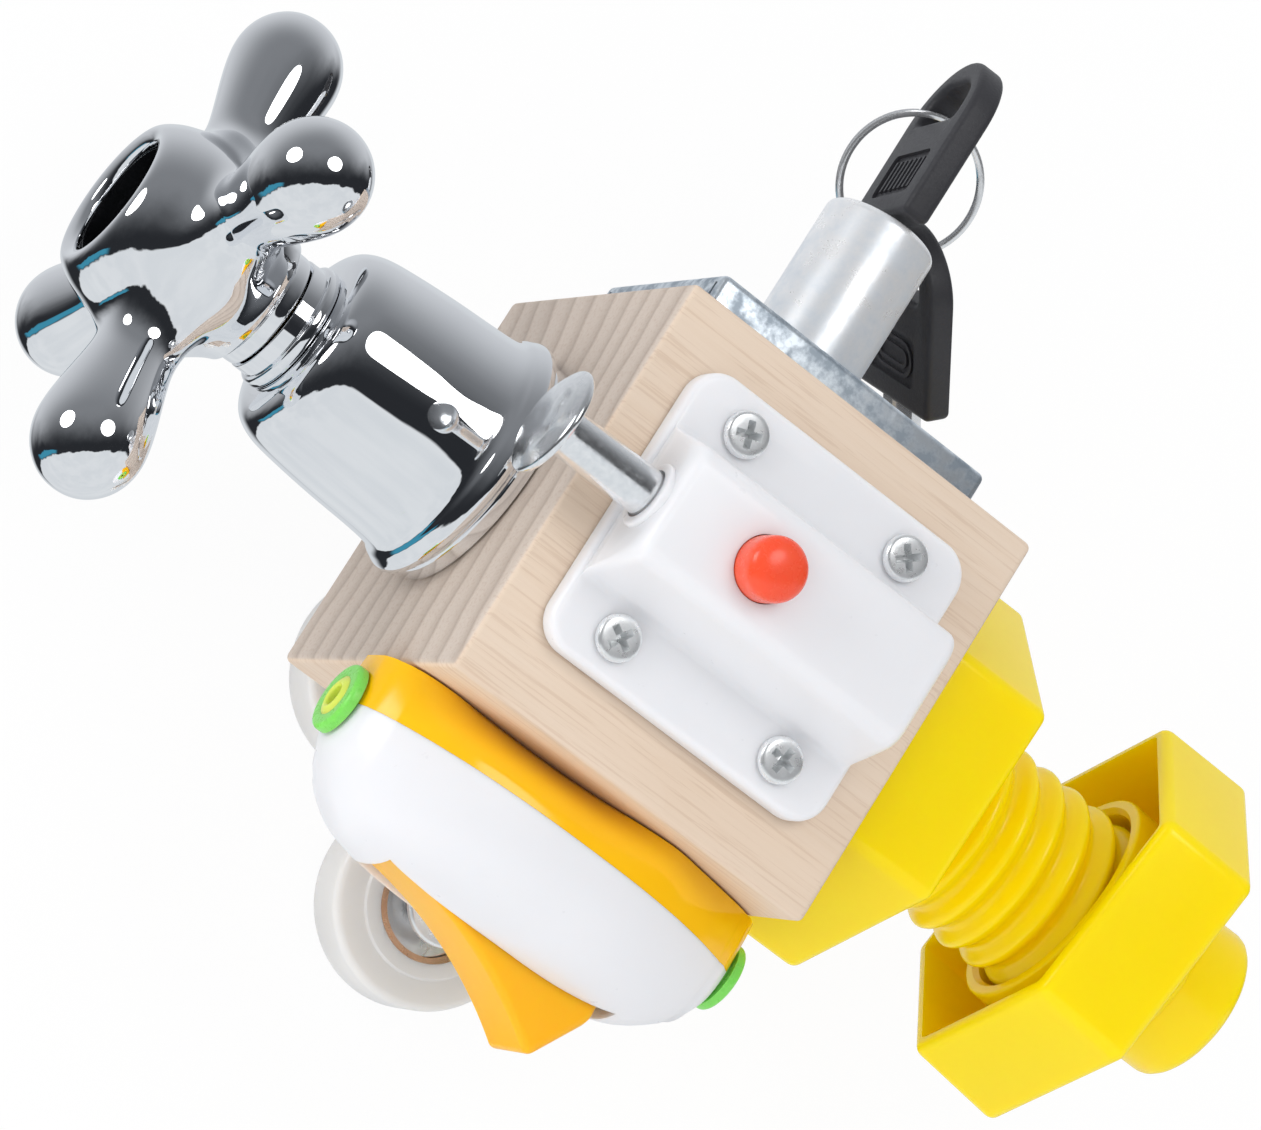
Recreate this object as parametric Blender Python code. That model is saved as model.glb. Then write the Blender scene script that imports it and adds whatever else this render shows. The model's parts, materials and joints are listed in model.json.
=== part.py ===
"""Busy cube: a wooden block that carries one piece of household hardware on each of its six faces.

Frame: +X points out of the face with the toy bolt, -X out of the face with the tap, +Y out of the
face with the drawer lock, -Y out of the face with the rocker switch, +Z out of the face with the
push latch and -Z out of the face with the twin roller. Lengths are metres.
The origin is under the middle of the part, on the surface that it stands on.
"""
import math

import bmesh
import bpy
from mathutils import Matrix, Vector

# Clearances and fineness
GAP = 0.0003
OVERRUN = 0.002
WELD = 0.000001
SIDES = 24
SMALL_SIDES = 12
ARC_STEPS = 4
SHARP_ANGLE = math.radians(32)

# Wooden block
CUBE_EDGE = 0.055
CUBE_ROUND = 0.0007
PILOT_DEPTH = 0.010

# Tap: flange, bell, valve body, gland nut, spindle and cross handle
FLANGE_RADIUS = 0.0157
FLANGE_THICKNESS = 0.0022
FLANGE_ROUND = 0.0006
BELL_HEIGHT = 0.0270
BELL_LIP_RADIUS = 0.0169
BELL_WALL = 0.0012
BELL_OUTLINE_SHARES = ((0.94, 0.0), (0.99, 0.02), (1.0, 0.052), (0.958, 0.1), (0.912, 0.15), (0.888, 0.27),
                       (0.868, 0.5), (0.838, 0.72), (0.805, 0.86), (0.745, 0.945), (0.66, 0.985), (0.54, 1.0))
BODY_RADIUS = 0.0072
BODY_NECK_RADIUS = 0.0056
BODY_TAIL_RADIUS = 0.0040
BODY_TAIL_LENGTH = 0.012
GLAND_RADIUS = 0.0085
GLAND_WAIST_RADIUS = 0.0074
GLAND_HEIGHT = 0.0034
SPINDLE_RADIUS = 0.0035
SPINDLE_DEPTH = 0.016
HUB_RADIUS = 0.0133
HUB_HEIGHT = 0.0248
HUB_OUTLINE_SHARES = ((0.63, 0.0), (0.675, 0.03), (0.675, 0.08), (0.63, 0.12), (0.65, 0.17), (0.76, 0.25),
                      (0.91, 0.36), (0.99, 0.5), (0.985, 0.62), (0.91, 0.76), (0.79, 0.88), (0.69, 0.955),
                      (0.64, 0.99), (0.60, 1.0), (0.555, 0.985))
MOUTH_RADIUS = 0.0068
MOUTH_DEPTH = 0.0098
HUB_FLOOR = 0.0023
ARM_NECK_RADIUS = 0.0049
ARM_ROOT_RADIUS = 0.0056
ARM_ROOT = 0.0085
ARM_NECK = 0.0150
ARM_BALL_RADIUS = 0.00715
ARM_REACH = 0.02915
ARM_HEIGHT = 0.0126
ARM_COUNT = 4
ARM_SIDES = 12
ARM_REST_ANGLE = math.radians(18)
HANDLE_SCREW_RADIUS = 0.0040
HANDLE_SCREW_HEIGHT = 0.0020
HANDLE_SCREW_SHANK = 0.0019
HANDLE_SCREW_LENGTH = 0.010
DRIVER_SLOT = 0.0009

# Drawer lock: tray, barrel, plug, tongue and screws
TRAY_LENGTH = 0.0428
TRAY_WIDTH = 0.0345
TRAY_HEIGHT = 0.0056
TRAY_WALL = 0.0010
TRAY_ROUND = 0.0005
TRAY_SLIT = 0.0005
TRAY_SHIFT_X = -0.0004
TRAY_SHIFT_Y = -0.0018
BARREL_RADIUS = 0.00765
BARREL_HEIGHT = 0.0226
BARREL_ROUND = 0.0009
BARREL_SHIFT_X = -0.0007
PLUG_RADIUS = 0.0055
PLUG_RECESS = 0.0006
PLUG_TAIL = 0.0006
KEY_REST_ANGLE = math.radians(-4)
TONGUE_THROW = 0.0070
TONGUE_WIDTH = 0.016
TONGUE_THICKNESS = 0.0024
TONGUE_HEIGHT = 0.0010
TONGUE_BACK = 0.0030
CAM_PIN_RADIUS = 0.0012
CAM_SLOT_SLACK = 0.0013
LOCK_SCREW_INSET = 0.0064
LOCK_SCREW_SHIFT = 0.004

# Keys, shared by the key in the lock and the spare key, and the ring that joins them
BLADE_THICKNESS = 0.0014
BLADE_WIDTH = 0.0074
BLADE_LENGTH = 0.0190
BLADE_TIP = 0.0025
BLADE_NOTCH = 0.0016
BLADE_NOTCH_COUNT = 4
BLADE_ROOT = 0.0040
KEY_STAND_OFF = 0.0008
HEAD_WIDTH = 0.0184
HEAD_FOOT_WIDTH = 0.0182
HEAD_LENGTH = 0.0242
HEAD_THICKNESS = 0.0038
HEAD_ROUND = 0.0008
HEAD_RIM = 0.0035
HEAD_HOLE_HEIGHT = 0.0058
HEAD_BRIDGE = 0.0050
HEAD_PANEL_HEIGHT = 0.0066
HEAD_PANEL_DEPTH = 0.0005
RING_RADIUS = 0.00918
RING_WIRE = 0.0011
RING_SIDES = 36
RING_NORMAL_SHARES = (-0.024, -0.937, -0.349)
RING_HANG_SHARES = (0.260, 0.331, -0.907)
RING_SIDE = 0.0047
RING_LIFT = 0.0018
SPARE_KEY_ANGLE = math.radians(21.35)
SPARE_KEY_DOWN_SHARES = (0.643, 0.367, -0.672)
SPARE_KEY_SIDE_SHARES = (0.276, -0.930, -0.243)
SPARE_KEY_SLACK = 0.0007
SPARE_KEY_OFFSET = 0.0007

# Push latch: housing, pin, button, spring and screws
LATCH_SHIFT_X = -0.0003
LATCH_SHIFT_Y = 0.0007
LATCH_LENGTH = 0.0429
LATCH_WIDTH = 0.0393
LATCH_PLATE = 0.0027
LATCH_CORNER = 0.0044
LATCH_EDGE_ROUND = 0.0009
RIDGE_LENGTH = 0.0415
RIDGE_HEIGHT = 0.0143
RIDGE_FOOT_WIDTH = 0.0210
RIDGE_CREST_WIDTH = 0.0166
RIDGE_ROUND = 0.0026
RIDGE_END_SLOPE = 0.0012
PIN_RADIUS = 0.0030
PIN_HEIGHT = 0.0088
PIN_REACH = 0.0140
PIN_TRAVEL = 0.0110
PIN_INNER = 0.0200
PIN_HEAD_RADIUS = 0.0071
PIN_HEAD_THICKNESS = 0.0030
PIN_HEAD_RIM = 0.0011
SPRING_WALL = 0.0008
SPRING_CHAMBER_RADIUS = 0.0042
SPRING_SOLID_LENGTH = 0.0060
BUTTON_RADIUS = 0.0044
BUTTON_SHIFT_X = -0.0059
BUTTON_PROUD = 0.0026
BUTTON_DOME = 0.0025
BUTTON_TRAVEL = 0.0018
BUTTON_LEG_DEPTH = 0.0084
LATCH_SCREW_INSET_X = 0.00865
LATCH_SCREW_INSET_Y = 0.00505

# Wood screws
SCREW_HEAD_RADIUS = 0.0029
SCREW_HEAD_HEIGHT = 0.0013
SCREW_SHANK_RADIUS = 0.0012
SCREW_LENGTH = 0.0095
SCREW_POINT = 0.0020
CROSS_LENGTH = 0.0034
CROSS_WIDTH = 0.0007
CROSS_DEPTH = 0.0009
CROSS_TURN = math.radians(20)

# Toy bolt and nut
HEX_RADIUS = 0.0270
HEX_HEIGHT = 0.0152
HEX_ROUND = 0.0011
HEX_ANGLE = math.radians(4)
HEX_HOLLOW_INNER = 0.0085
HEX_HOLLOW_OUTER = 0.0200
HEX_HOLLOW_DEPTH = 0.0125
BOLT_SHIFT = 0.0006
THREAD_CREST_RADIUS = 0.0129
THREAD_ROOT_RADIUS = 0.0114
THREAD_PITCH = 0.0044
THREAD_LENGTH = 0.0400
THREAD_SIDES = 20
THREAD_STEPS_PER_PITCH = 4
BOLT_END_RADIUS = 0.0108
BOLT_END_LENGTH = 0.0112
BOLT_END_DOME = 0.0034
STUD_RADIUS = 0.0030
STUD_LENGTH = 0.0200
NUT_RADIUS = 0.0268
NUT_TAPER = 0.0003
NUT_HEIGHT = 0.0144
NUT_WALL = 0.0017
NUT_WEB = 0.0024
NUT_BOSS_RADIUS = 0.0158
NUT_BOSS_RECESS = 0.0020
NUT_SLACK = 0.0009
NUT_STAND_OFF = 0.0445
NUT_ANGLE = math.radians(7)
NUT_TILT_Y = math.radians(-4.2)
NUT_TILT_Z = math.radians(-4.6)

# Rocker switch: base shell, cover shell, rocker, its pin, grommets and screws
SWITCH_SHIFT_X = -0.00025
SWITCH_SHIFT_Y = 0.0083
SWITCH_LENGTH = 0.0585
SWITCH_WIDTH = 0.0310
SWITCH_SEAM = 0.0072
SWITCH_HEIGHT = 0.0220
SWITCH_WALL = 0.0016
SWITCH_PLACE_SHARES = (-0.5, -0.48, -0.44, -0.37, -0.28, -0.18, -0.08, 0.02, 0.12, 0.2, 0.28, 0.36, 0.43, 0.48,
                       0.5)
SWITCH_SEAM_SHARES = (0.30, 0.42, 0.55, 0.72, 0.87, 0.96, 1.0, 1.0, 0.98, 0.93, 0.84, 0.70, 0.53, 0.40,
                      0.30)
SWITCH_FOOT_SHARES = (0.26, 0.38, 0.50, 0.56, 0.52, 0.50, 0.52, 0.60, 0.76, 0.82, 0.72, 0.60, 0.48, 0.36,
                      0.26)
SWITCH_CREST_SHARES = (0.56, 0.66, 0.80, 0.92, 0.975, 0.995, 1.0, 1.0, 1.0, 0.99, 0.965, 0.91, 0.79, 0.66,
                       0.56)
SWITCH_SWELL_SHARES = ((0, 0), (0.45, 0.25), (0.78, 0.5), (0.95, 0.76), (1, 1))
SWITCH_FULLNESS = 2.5
ROCKER_SHIFT_X = 0.0013
ROCKER_HALF_LENGTH = 0.0149
ROCKER_FOOT_LENGTH = 0.0165
ROCKER_WIDTH = 0.0118
ROCKER_HEIGHT = 0.0092
ROCKER_SAG = 0.0021
ROCKER_DEPTH = 0.0034
ROCKER_PIVOT_HEIGHT = 0.0165
ROCKER_TILT = math.radians(20)
ROCKER_PIN_RADIUS = 0.0014
ROCKER_PIN_LENGTH = 0.0192
PIVOT_BOSS_RADIUS = 0.0023
PIVOT_BOSS_SPAN = 0.0226
ROCKER_ROUND = 0.0007
GROMMET_RADIUS = 0.0046
GROMMET_NECK_RADIUS = 0.0034
GROMMET_BORE = 0.0020
GROMMET_FLANGE = 0.0017
SWITCH_SCREW_INSET = 0.0103

# Twin roller: bracket, axles, wheels, bearings and screws
BRACKET_THICKNESS = 0.0016
BRACKET_END_RADIUS = 0.0052
BRACKET_FOOT_RADIUS = 0.0060
FAR_WHEEL_X = 0.0090
FAR_WHEEL_Y = 0.0405
NEAR_WHEEL_X = -0.0102
NEAR_WHEEL_Y = 0.0187
WHEEL_PLACES = ((FAR_WHEEL_X, FAR_WHEEL_Y), (NEAR_WHEEL_X, NEAR_WHEEL_Y))
FIRST_FOOT_X = 0.0105
FIRST_FOOT_Y = 0.0125
SECOND_FOOT_X = -0.0085
SECOND_FOOT_Y = -0.0040
BRACKET_SCREW_PLACES = ((FIRST_FOOT_X, FIRST_FOOT_Y), (SECOND_FOOT_X, SECOND_FOOT_Y))
WHEEL_RADIUS = 0.0135
WHEEL_WIDTH = 0.0090
WHEEL_STAND_OFF = 0.0046
WHEEL_ROUND = 0.0008
WHEEL_STEP_RADIUS = 0.0096
WHEEL_STEP_DEPTH = 0.0006
BEARING_RADIUS = 0.0065
BEARING_BORE = 0.0024
BEARING_WIDTH = 0.0050
BEARING_RECESS = 0.0015
BEARING_GROOVE = 0.0004
AXLE_RADIUS = 0.0020
AXLE_SHOULDER_RADIUS = 0.0034
AXLE_HEAD_RADIUS = 0.0042
AXLE_HEAD_HEIGHT = 0.0012


def clear_scene():
    """Remove whatever objects the open file holds."""
    for item in list(bpy.data.objects):
        bpy.data.objects.remove(item, do_unlink=True)


def make_material(name, colour, roughness, metallic=0.0):
    """Return a Principled material."""
    material = bpy.data.materials.new(name)
    material.use_nodes = True
    shader = material.node_tree.nodes["Principled BSDF"]
    shader.inputs["Base Color"].default_value = (*colour, 1.0)
    shader.inputs["Roughness"].default_value = roughness
    shader.inputs["Metallic"].default_value = metallic
    return material


def make_empty(name, matrix, parent=None):
    """Return an empty that carries a gadget's own frame."""
    empty = bpy.data.objects.new(name, None)
    bpy.context.scene.collection.objects.link(empty)
    empty.parent = parent
    empty.matrix_local = matrix
    return empty


def face_frame(name, outward, across, parent):
    """Return an empty in the middle of a cube face: its Z points out of the face, its X along across."""
    out = Vector(outward)
    side = Vector(across)
    turn = Matrix((side, out.cross(side), out)).transposed().to_4x4()
    return make_empty(name, Matrix.Translation(out * CUBE_EDGE / 2) @ turn, parent)


def add_mesh(bm, name, material, parent, matrix=None):
    """Turn a bmesh into a shaded object under its parent."""
    bmesh.ops.recalc_face_normals(bm, faces=bm.faces)
    mesh = bpy.data.meshes.new(name)
    bm.to_mesh(mesh)
    bm.free()
    mesh.shade_smooth()
    mesh.set_sharp_from_angle(angle=SHARP_ANGLE)
    return add_object(mesh, name, material, parent, matrix)


def add_object(mesh, name, material, parent, matrix=None):
    """Place a mesh under its parent with one material."""
    item = bpy.data.objects.new(name, mesh)
    bpy.context.scene.collection.objects.link(item)
    if material and not mesh.materials:
        mesh.materials.append(material)
    item.parent = parent
    item.matrix_local = matrix or Matrix.Identity(4)
    return item


def hide_helper(item):
    """Mark an object as a cutter or a joined shape."""
    item.hide_render = True
    item.display_type = "WIRE"
    return item


def boolean(item, helper, operation="DIFFERENCE"):
    """Cut or join a helper shape with a Boolean modifier."""
    hide_helper(helper)
    modifier = item.modifiers.new(f"{operation.lower()} {helper.name}", "BOOLEAN")
    modifier.operation = operation
    modifier.object = helper
    return item


def bevel(item, width, segments=2, angle=SHARP_ANGLE):
    """Round an object's sharp edges."""
    modifier = item.modifiers.new("round edges", "BEVEL")
    modifier.width = width
    modifier.segments = segments
    modifier.limit_method = "ANGLE"
    modifier.angle_limit = angle
    return item


def arc(centre, radius, start, end, steps=ARC_STEPS):
    """Return points on an arc, with both ends; angles in degrees."""
    turns = [math.radians(start + (end - start) * step / steps) for step in range(steps + 1)]
    return [(centre[0] + radius * math.cos(turn), centre[1] + radius * math.sin(turn)) for turn in turns]


def curve_through(points, steps=2):
    """Return a Catmull-Rom curve through 2-D points."""
    padded = [points[0], *points, points[-1]]
    result = []
    for before, start, end, after in zip(padded, padded[1:], padded[2:], padded[3:]):
        for step in range(steps):
            share = step / steps
            result.append(tuple(
                (2 * b + (c - a) * share + (2 * a - 5 * b + 4 * c - d) * share**2
                 + (3 * b - a - 3 * c + d) * share**3) / 2
                for a, b, c, d in zip(before, start, end, after)))
    result.append(tuple(points[-1]))
    return result


def turned(profile, sides=SIDES):
    """Spin a profile of (radius, height) points round Z; the profile's last point joins its first."""
    bm = bmesh.new()
    points = [bm.verts.new((radius, 0, height)) for radius, height in profile]
    edges = [bm.edges.new((start, end)) for start, end in zip(points, points[1:] + points[:1])
             if start.co.x > WELD or end.co.x > WELD]
    bmesh.ops.spin(bm, geom=points + edges, cent=(0, 0, 0), axis=(0, 0, 1), angle=math.tau,
                   steps=sides, use_merge=True)
    bmesh.ops.remove_doubles(bm, verts=bm.verts, dist=WELD)
    return bm


def prism(outline, low, high):
    """Extrude a closed 2-D outline along Z."""
    bm = bmesh.new()
    face = bm.faces.new([bm.verts.new((x, y, low)) for x, y in outline])
    extruded = bmesh.ops.extrude_face_region(bm, geom=[face])
    moved = [part for part in extruded["geom"] if isinstance(part, bmesh.types.BMVert)]
    bmesh.ops.translate(bm, verts=moved, vec=(0, 0, high - low))
    return bm


def box(low, high):
    """Return a box between two corners."""
    outline = [(low[0], low[1]), (high[0], low[1]), (high[0], high[1]), (low[0], high[1])]
    return prism(outline, low[2], high[2])


def skin(loops):
    """Join equal loops of points into a closed body with flat ends."""
    bm = bmesh.new()
    rings = [[bm.verts.new(point) for point in loop] for loop in loops]
    for lower, upper in zip(rings, rings[1:]):
        for index in range(len(lower)):
            after = (index + 1) % len(lower)
            bm.faces.new((lower[index], lower[after], upper[after], upper[index]))
    bm.faces.new(rings[0])
    bm.faces.new(rings[-1])
    return bm


def rounded_rectangle(length, width, radius, steps=ARC_STEPS):
    """Return the outline of a rectangle with round corners, centred on the origin."""
    x, y = length / 2 - radius, width / 2 - radius
    return (arc((x, y), radius, 0, 90, steps) + arc((-x, y), radius, 90, 180, steps)
            + arc((-x, -y), radius, 180, 270, steps) + arc((x, -y), radius, 270, 360, steps))


def cylinder(radius, low, high, sides=SMALL_SIDES):
    """Return a plain cylinder along Z."""
    return turned([(0, low), (radius, low), (radius, high), (0, high)], sides)


def join_meshes(parts):
    """Collect separate bmeshes, each with its matrix, into one bmesh."""
    whole = bmesh.new()
    for part, matrix in parts:
        bmesh.ops.transform(part, matrix=matrix, verts=part.verts)
        mesh = bpy.data.meshes.new("joined")
        part.to_mesh(mesh)
        part.free()
        whole.from_mesh(mesh)
        bpy.data.meshes.remove(mesh)
    return whole


def lay_over(x, y, height=0.0):
    """Return the matrix that moves a shape to a place."""
    return Matrix.Translation((x, y, height))


def cross_screw_mesh(material):
    """Return the mesh of a pan-head wood screw with a cross recess; its head's underside is at Z zero."""
    crown = SCREW_HEAD_RADIUS * 2 / 3
    profile = [(0, -SCREW_LENGTH), (SCREW_SHANK_RADIUS, -SCREW_LENGTH + SCREW_POINT), (SCREW_SHANK_RADIUS, 0),
               (SCREW_HEAD_RADIUS, 0), (SCREW_HEAD_RADIUS, SCREW_HEAD_HEIGHT / 3),
               (crown, SCREW_HEAD_HEIGHT * 5 / 6), (0, SCREW_HEAD_HEIGHT)]
    screw = add_mesh(turned(profile, SMALL_SIDES), "screw pattern", material, None)
    floor = SCREW_HEAD_HEIGHT - CROSS_DEPTH
    for turn in range(2):
        size = (CROSS_LENGTH / 2, CROSS_WIDTH / 2) if turn else (CROSS_WIDTH / 2, CROSS_LENGTH / 2)
        bar = box((-size[0], -size[1], floor), (size[0], size[1], SCREW_HEAD_HEIGHT + OVERRUN))
        boolean(screw, add_mesh(bar, f"cross bar {turn}", None, None))
    evaluated = screw.evaluated_get(bpy.context.evaluated_depsgraph_get())
    mesh = bpy.data.meshes.new_from_object(evaluated)
    mesh.name = "cross screw"
    for item in [screw] + [o for o in bpy.data.objects if o.name.startswith("cross bar")]:
        bpy.data.objects.remove(item, do_unlink=True)
    return mesh


def latch_screw_places():
    """Return the four places of the latch's screws on the front face."""
    reach_x = LATCH_LENGTH / 2 - LATCH_SCREW_INSET_X
    reach_y = LATCH_WIDTH / 2 - LATCH_SCREW_INSET_Y
    return [(LATCH_SHIFT_X + x * reach_x, LATCH_SHIFT_Y + y * reach_y) for y in (1, -1) for x in (-1, 1)]


def lock_screw_places():
    """Return the two places of the lock tray's screws."""
    reach = TRAY_LENGTH / 2 - LOCK_SCREW_INSET
    return [(TRAY_SHIFT_X + side * reach, LOCK_SCREW_SHIFT) for side in (-1, 1)]


def switch_screw_places():
    """Return the two places of the screws inside the switch."""
    reach = SWITCH_LENGTH / 2 - SWITCH_SCREW_INSET
    return [(SWITCH_SHIFT_X + side * reach, SWITCH_SHIFT_Y) for side in (-1, 1)]


def build_block(frames, material):
    """The wooden cube with its pilot holes."""
    half = CUBE_EDGE / 2
    block = add_mesh(box((-half, -half, -half), (half, half, half)), "wood_block", material, frames["root"])
    bevel(block, CUBE_ROUND)
    pilot = SCREW_SHANK_RADIUS + GAP
    holes = [("tap", 0, 0, BODY_TAIL_RADIUS + GAP, BODY_TAIL_LENGTH + GAP),
             ("bolt", BOLT_SHIFT, 0, STUD_RADIUS + GAP, STUD_LENGTH / 2 + GAP)]
    holes += [("latch", x, y, pilot, PILOT_DEPTH) for x, y in latch_screw_places()]
    holes += [("lock", x, y, pilot, PILOT_DEPTH) for x, y in lock_screw_places()]
    holes += [("switch", x, y, pilot, PILOT_DEPTH) for x, y in switch_screw_places()]
    holes += [("roller", x, y, pilot, PILOT_DEPTH) for x, y in BRACKET_SCREW_PLACES]
    drills = [(cylinder(radius, -depth, OVERRUN), frames[face].matrix_local @ lay_over(x, y))
              for face, x, y, radius, depth in holes]
    boolean(block, add_mesh(join_meshes(drills), "block drills", None, frames["root"]))


def build_tap(frame, materials):
    """The tap: everything that stands on the left face."""
    chrome = materials["chrome"]
    edge = FLANGE_ROUND
    top = GAP + FLANGE_THICKNESS
    bore = BODY_TAIL_RADIUS + GAP
    flange = [(bore, GAP), (FLANGE_RADIUS, GAP), (FLANGE_RADIUS, top - edge), (FLANGE_RADIUS - edge, top),
              (bore, top)]
    add_mesh(turned(flange), "tap_flange", chrome, frame)

    bell_foot = top + GAP
    bell_top = bell_foot + BELL_HEIGHT
    neck_bore = BODY_NECK_RADIUS + GAP
    outer = [(BELL_LIP_RADIUS * radius, bell_foot + BELL_HEIGHT * height)
             for radius, height in BELL_OUTLINE_SHARES]
    inner_height = BELL_HEIGHT - BELL_WALL
    inner = [(BELL_LIP_RADIUS * radius - BELL_WALL, bell_foot + inner_height * height)
             for radius, height in BELL_OUTLINE_SHARES[:-1]]
    add_mesh(turned(outer + [(neck_bore, bell_top), (neck_bore, bell_top - BELL_WALL)] + inner[::-1]),
             "tap_bell", chrome, frame)

    body_foot = top + GAP
    shoulder = bell_top - BELL_WALL - GAP
    gland_foot = bell_top + GAP
    gland_top = gland_foot + GLAND_HEIGHT
    spindle_foot = gland_top - SPINDLE_DEPTH
    well = SPINDLE_RADIUS + GAP
    body = [(0, -BODY_TAIL_LENGTH), (BODY_TAIL_RADIUS, -BODY_TAIL_LENGTH), (BODY_TAIL_RADIUS, body_foot),
            (BODY_RADIUS, body_foot), (BODY_RADIUS, shoulder), (BODY_NECK_RADIUS, shoulder),
            (BODY_NECK_RADIUS, gland_top), (well, gland_top), (well, spindle_foot - GAP),
            (0, spindle_foot - GAP)]
    add_mesh(turned(body), "tap_body", materials["brass"], frame)

    waist = gland_foot + GLAND_HEIGHT * 2 / 3
    gland = ([(neck_bore, gland_foot)]
             + arc((GLAND_RADIUS - edge, gland_foot + edge), edge, -90, 0, 2)
             + arc((GLAND_RADIUS - edge, waist - edge), edge, 0, 90, 2)
             + [(GLAND_WAIST_RADIUS, waist), (GLAND_WAIST_RADIUS, gland_top), (neck_bore, gland_top)])
    add_mesh(turned(gland), "tap_gland_nut", chrome, frame)

    hub_foot = gland_top + GAP
    hub_top = hub_foot + HUB_HEIGHT
    floor = hub_top - MOUTH_DEPTH
    spindle_top = floor - HUB_FLOOR - GAP
    screw_well = HANDLE_SCREW_SHANK + GAP
    screw_foot = floor + GAP - HANDLE_SCREW_LENGTH
    spindle = [(0, spindle_foot), (SPINDLE_RADIUS, spindle_foot), (SPINDLE_RADIUS, spindle_top),
               (screw_well, spindle_top), (screw_well, screw_foot - GAP), (0, screw_foot - GAP)]
    add_mesh(turned(spindle, SMALL_SIDES), "tap_spindle", materials["brass"], frame)

    outer = [(HUB_RADIUS * radius, hub_foot + HUB_HEIGHT * height) for radius, height in HUB_OUTLINE_SHARES]
    hub = outer + [(MOUTH_RADIUS, hub_top - GAP * 4), (MOUTH_RADIUS, floor), (screw_well, floor),
                   (screw_well, floor - HUB_FLOOR), (well, floor - HUB_FLOOR), (well, hub_foot)]
    handle = add_mesh(turned(hub), "tap_handle", chrome, frame)
    for number in range(ARM_COUNT):
        turn = ARM_REST_ANGLE + number * math.tau / ARM_COUNT
        place = (lay_over(0, 0, hub_foot + ARM_HEIGHT) @ Matrix.Rotation(turn, 4, "Z")
                 @ Matrix.Rotation(math.pi / 2, 4, "Y"))
        arm = add_mesh(turned(arm_profile(), ARM_SIDES), f"arm {number}", None, frame, place)
        boolean(handle, arm, "UNION")

    head_top = floor + GAP + HANDLE_SCREW_HEIGHT
    shank = HANDLE_SCREW_SHANK
    screw = [(0, screw_foot), (shank, screw_foot), (shank, floor + GAP), (HANDLE_SCREW_RADIUS, floor + GAP),
             (HANDLE_SCREW_RADIUS, head_top - edge), (HANDLE_SCREW_RADIUS - edge, head_top), (0, head_top)]
    item = add_mesh(turned(screw, SMALL_SIDES), "tap_handle_screw", materials["zinc"], frame)
    slot = box((-HANDLE_SCREW_RADIUS - OVERRUN, -DRIVER_SLOT / 2, head_top - DRIVER_SLOT),
               (HANDLE_SCREW_RADIUS + OVERRUN, DRIVER_SLOT / 2, head_top + OVERRUN))
    boolean(item, add_mesh(slot, "driver slot", None, frame))


def arm_profile():
    """Return one arm's profile of (radius, reach): a waist that flares into a ball."""
    ball = arc((0, ARM_REACH), ARM_BALL_RADIUS, -30, 90, 6)
    flare = curve_through([(ARM_ROOT_RADIUS, ARM_ROOT), (ARM_NECK_RADIUS, ARM_NECK), ball[0]], 3)
    return [(0, ARM_ROOT)] + flare[:-1] + ball[:-1] + [(0, ARM_REACH + ARM_BALL_RADIUS)]


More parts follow.
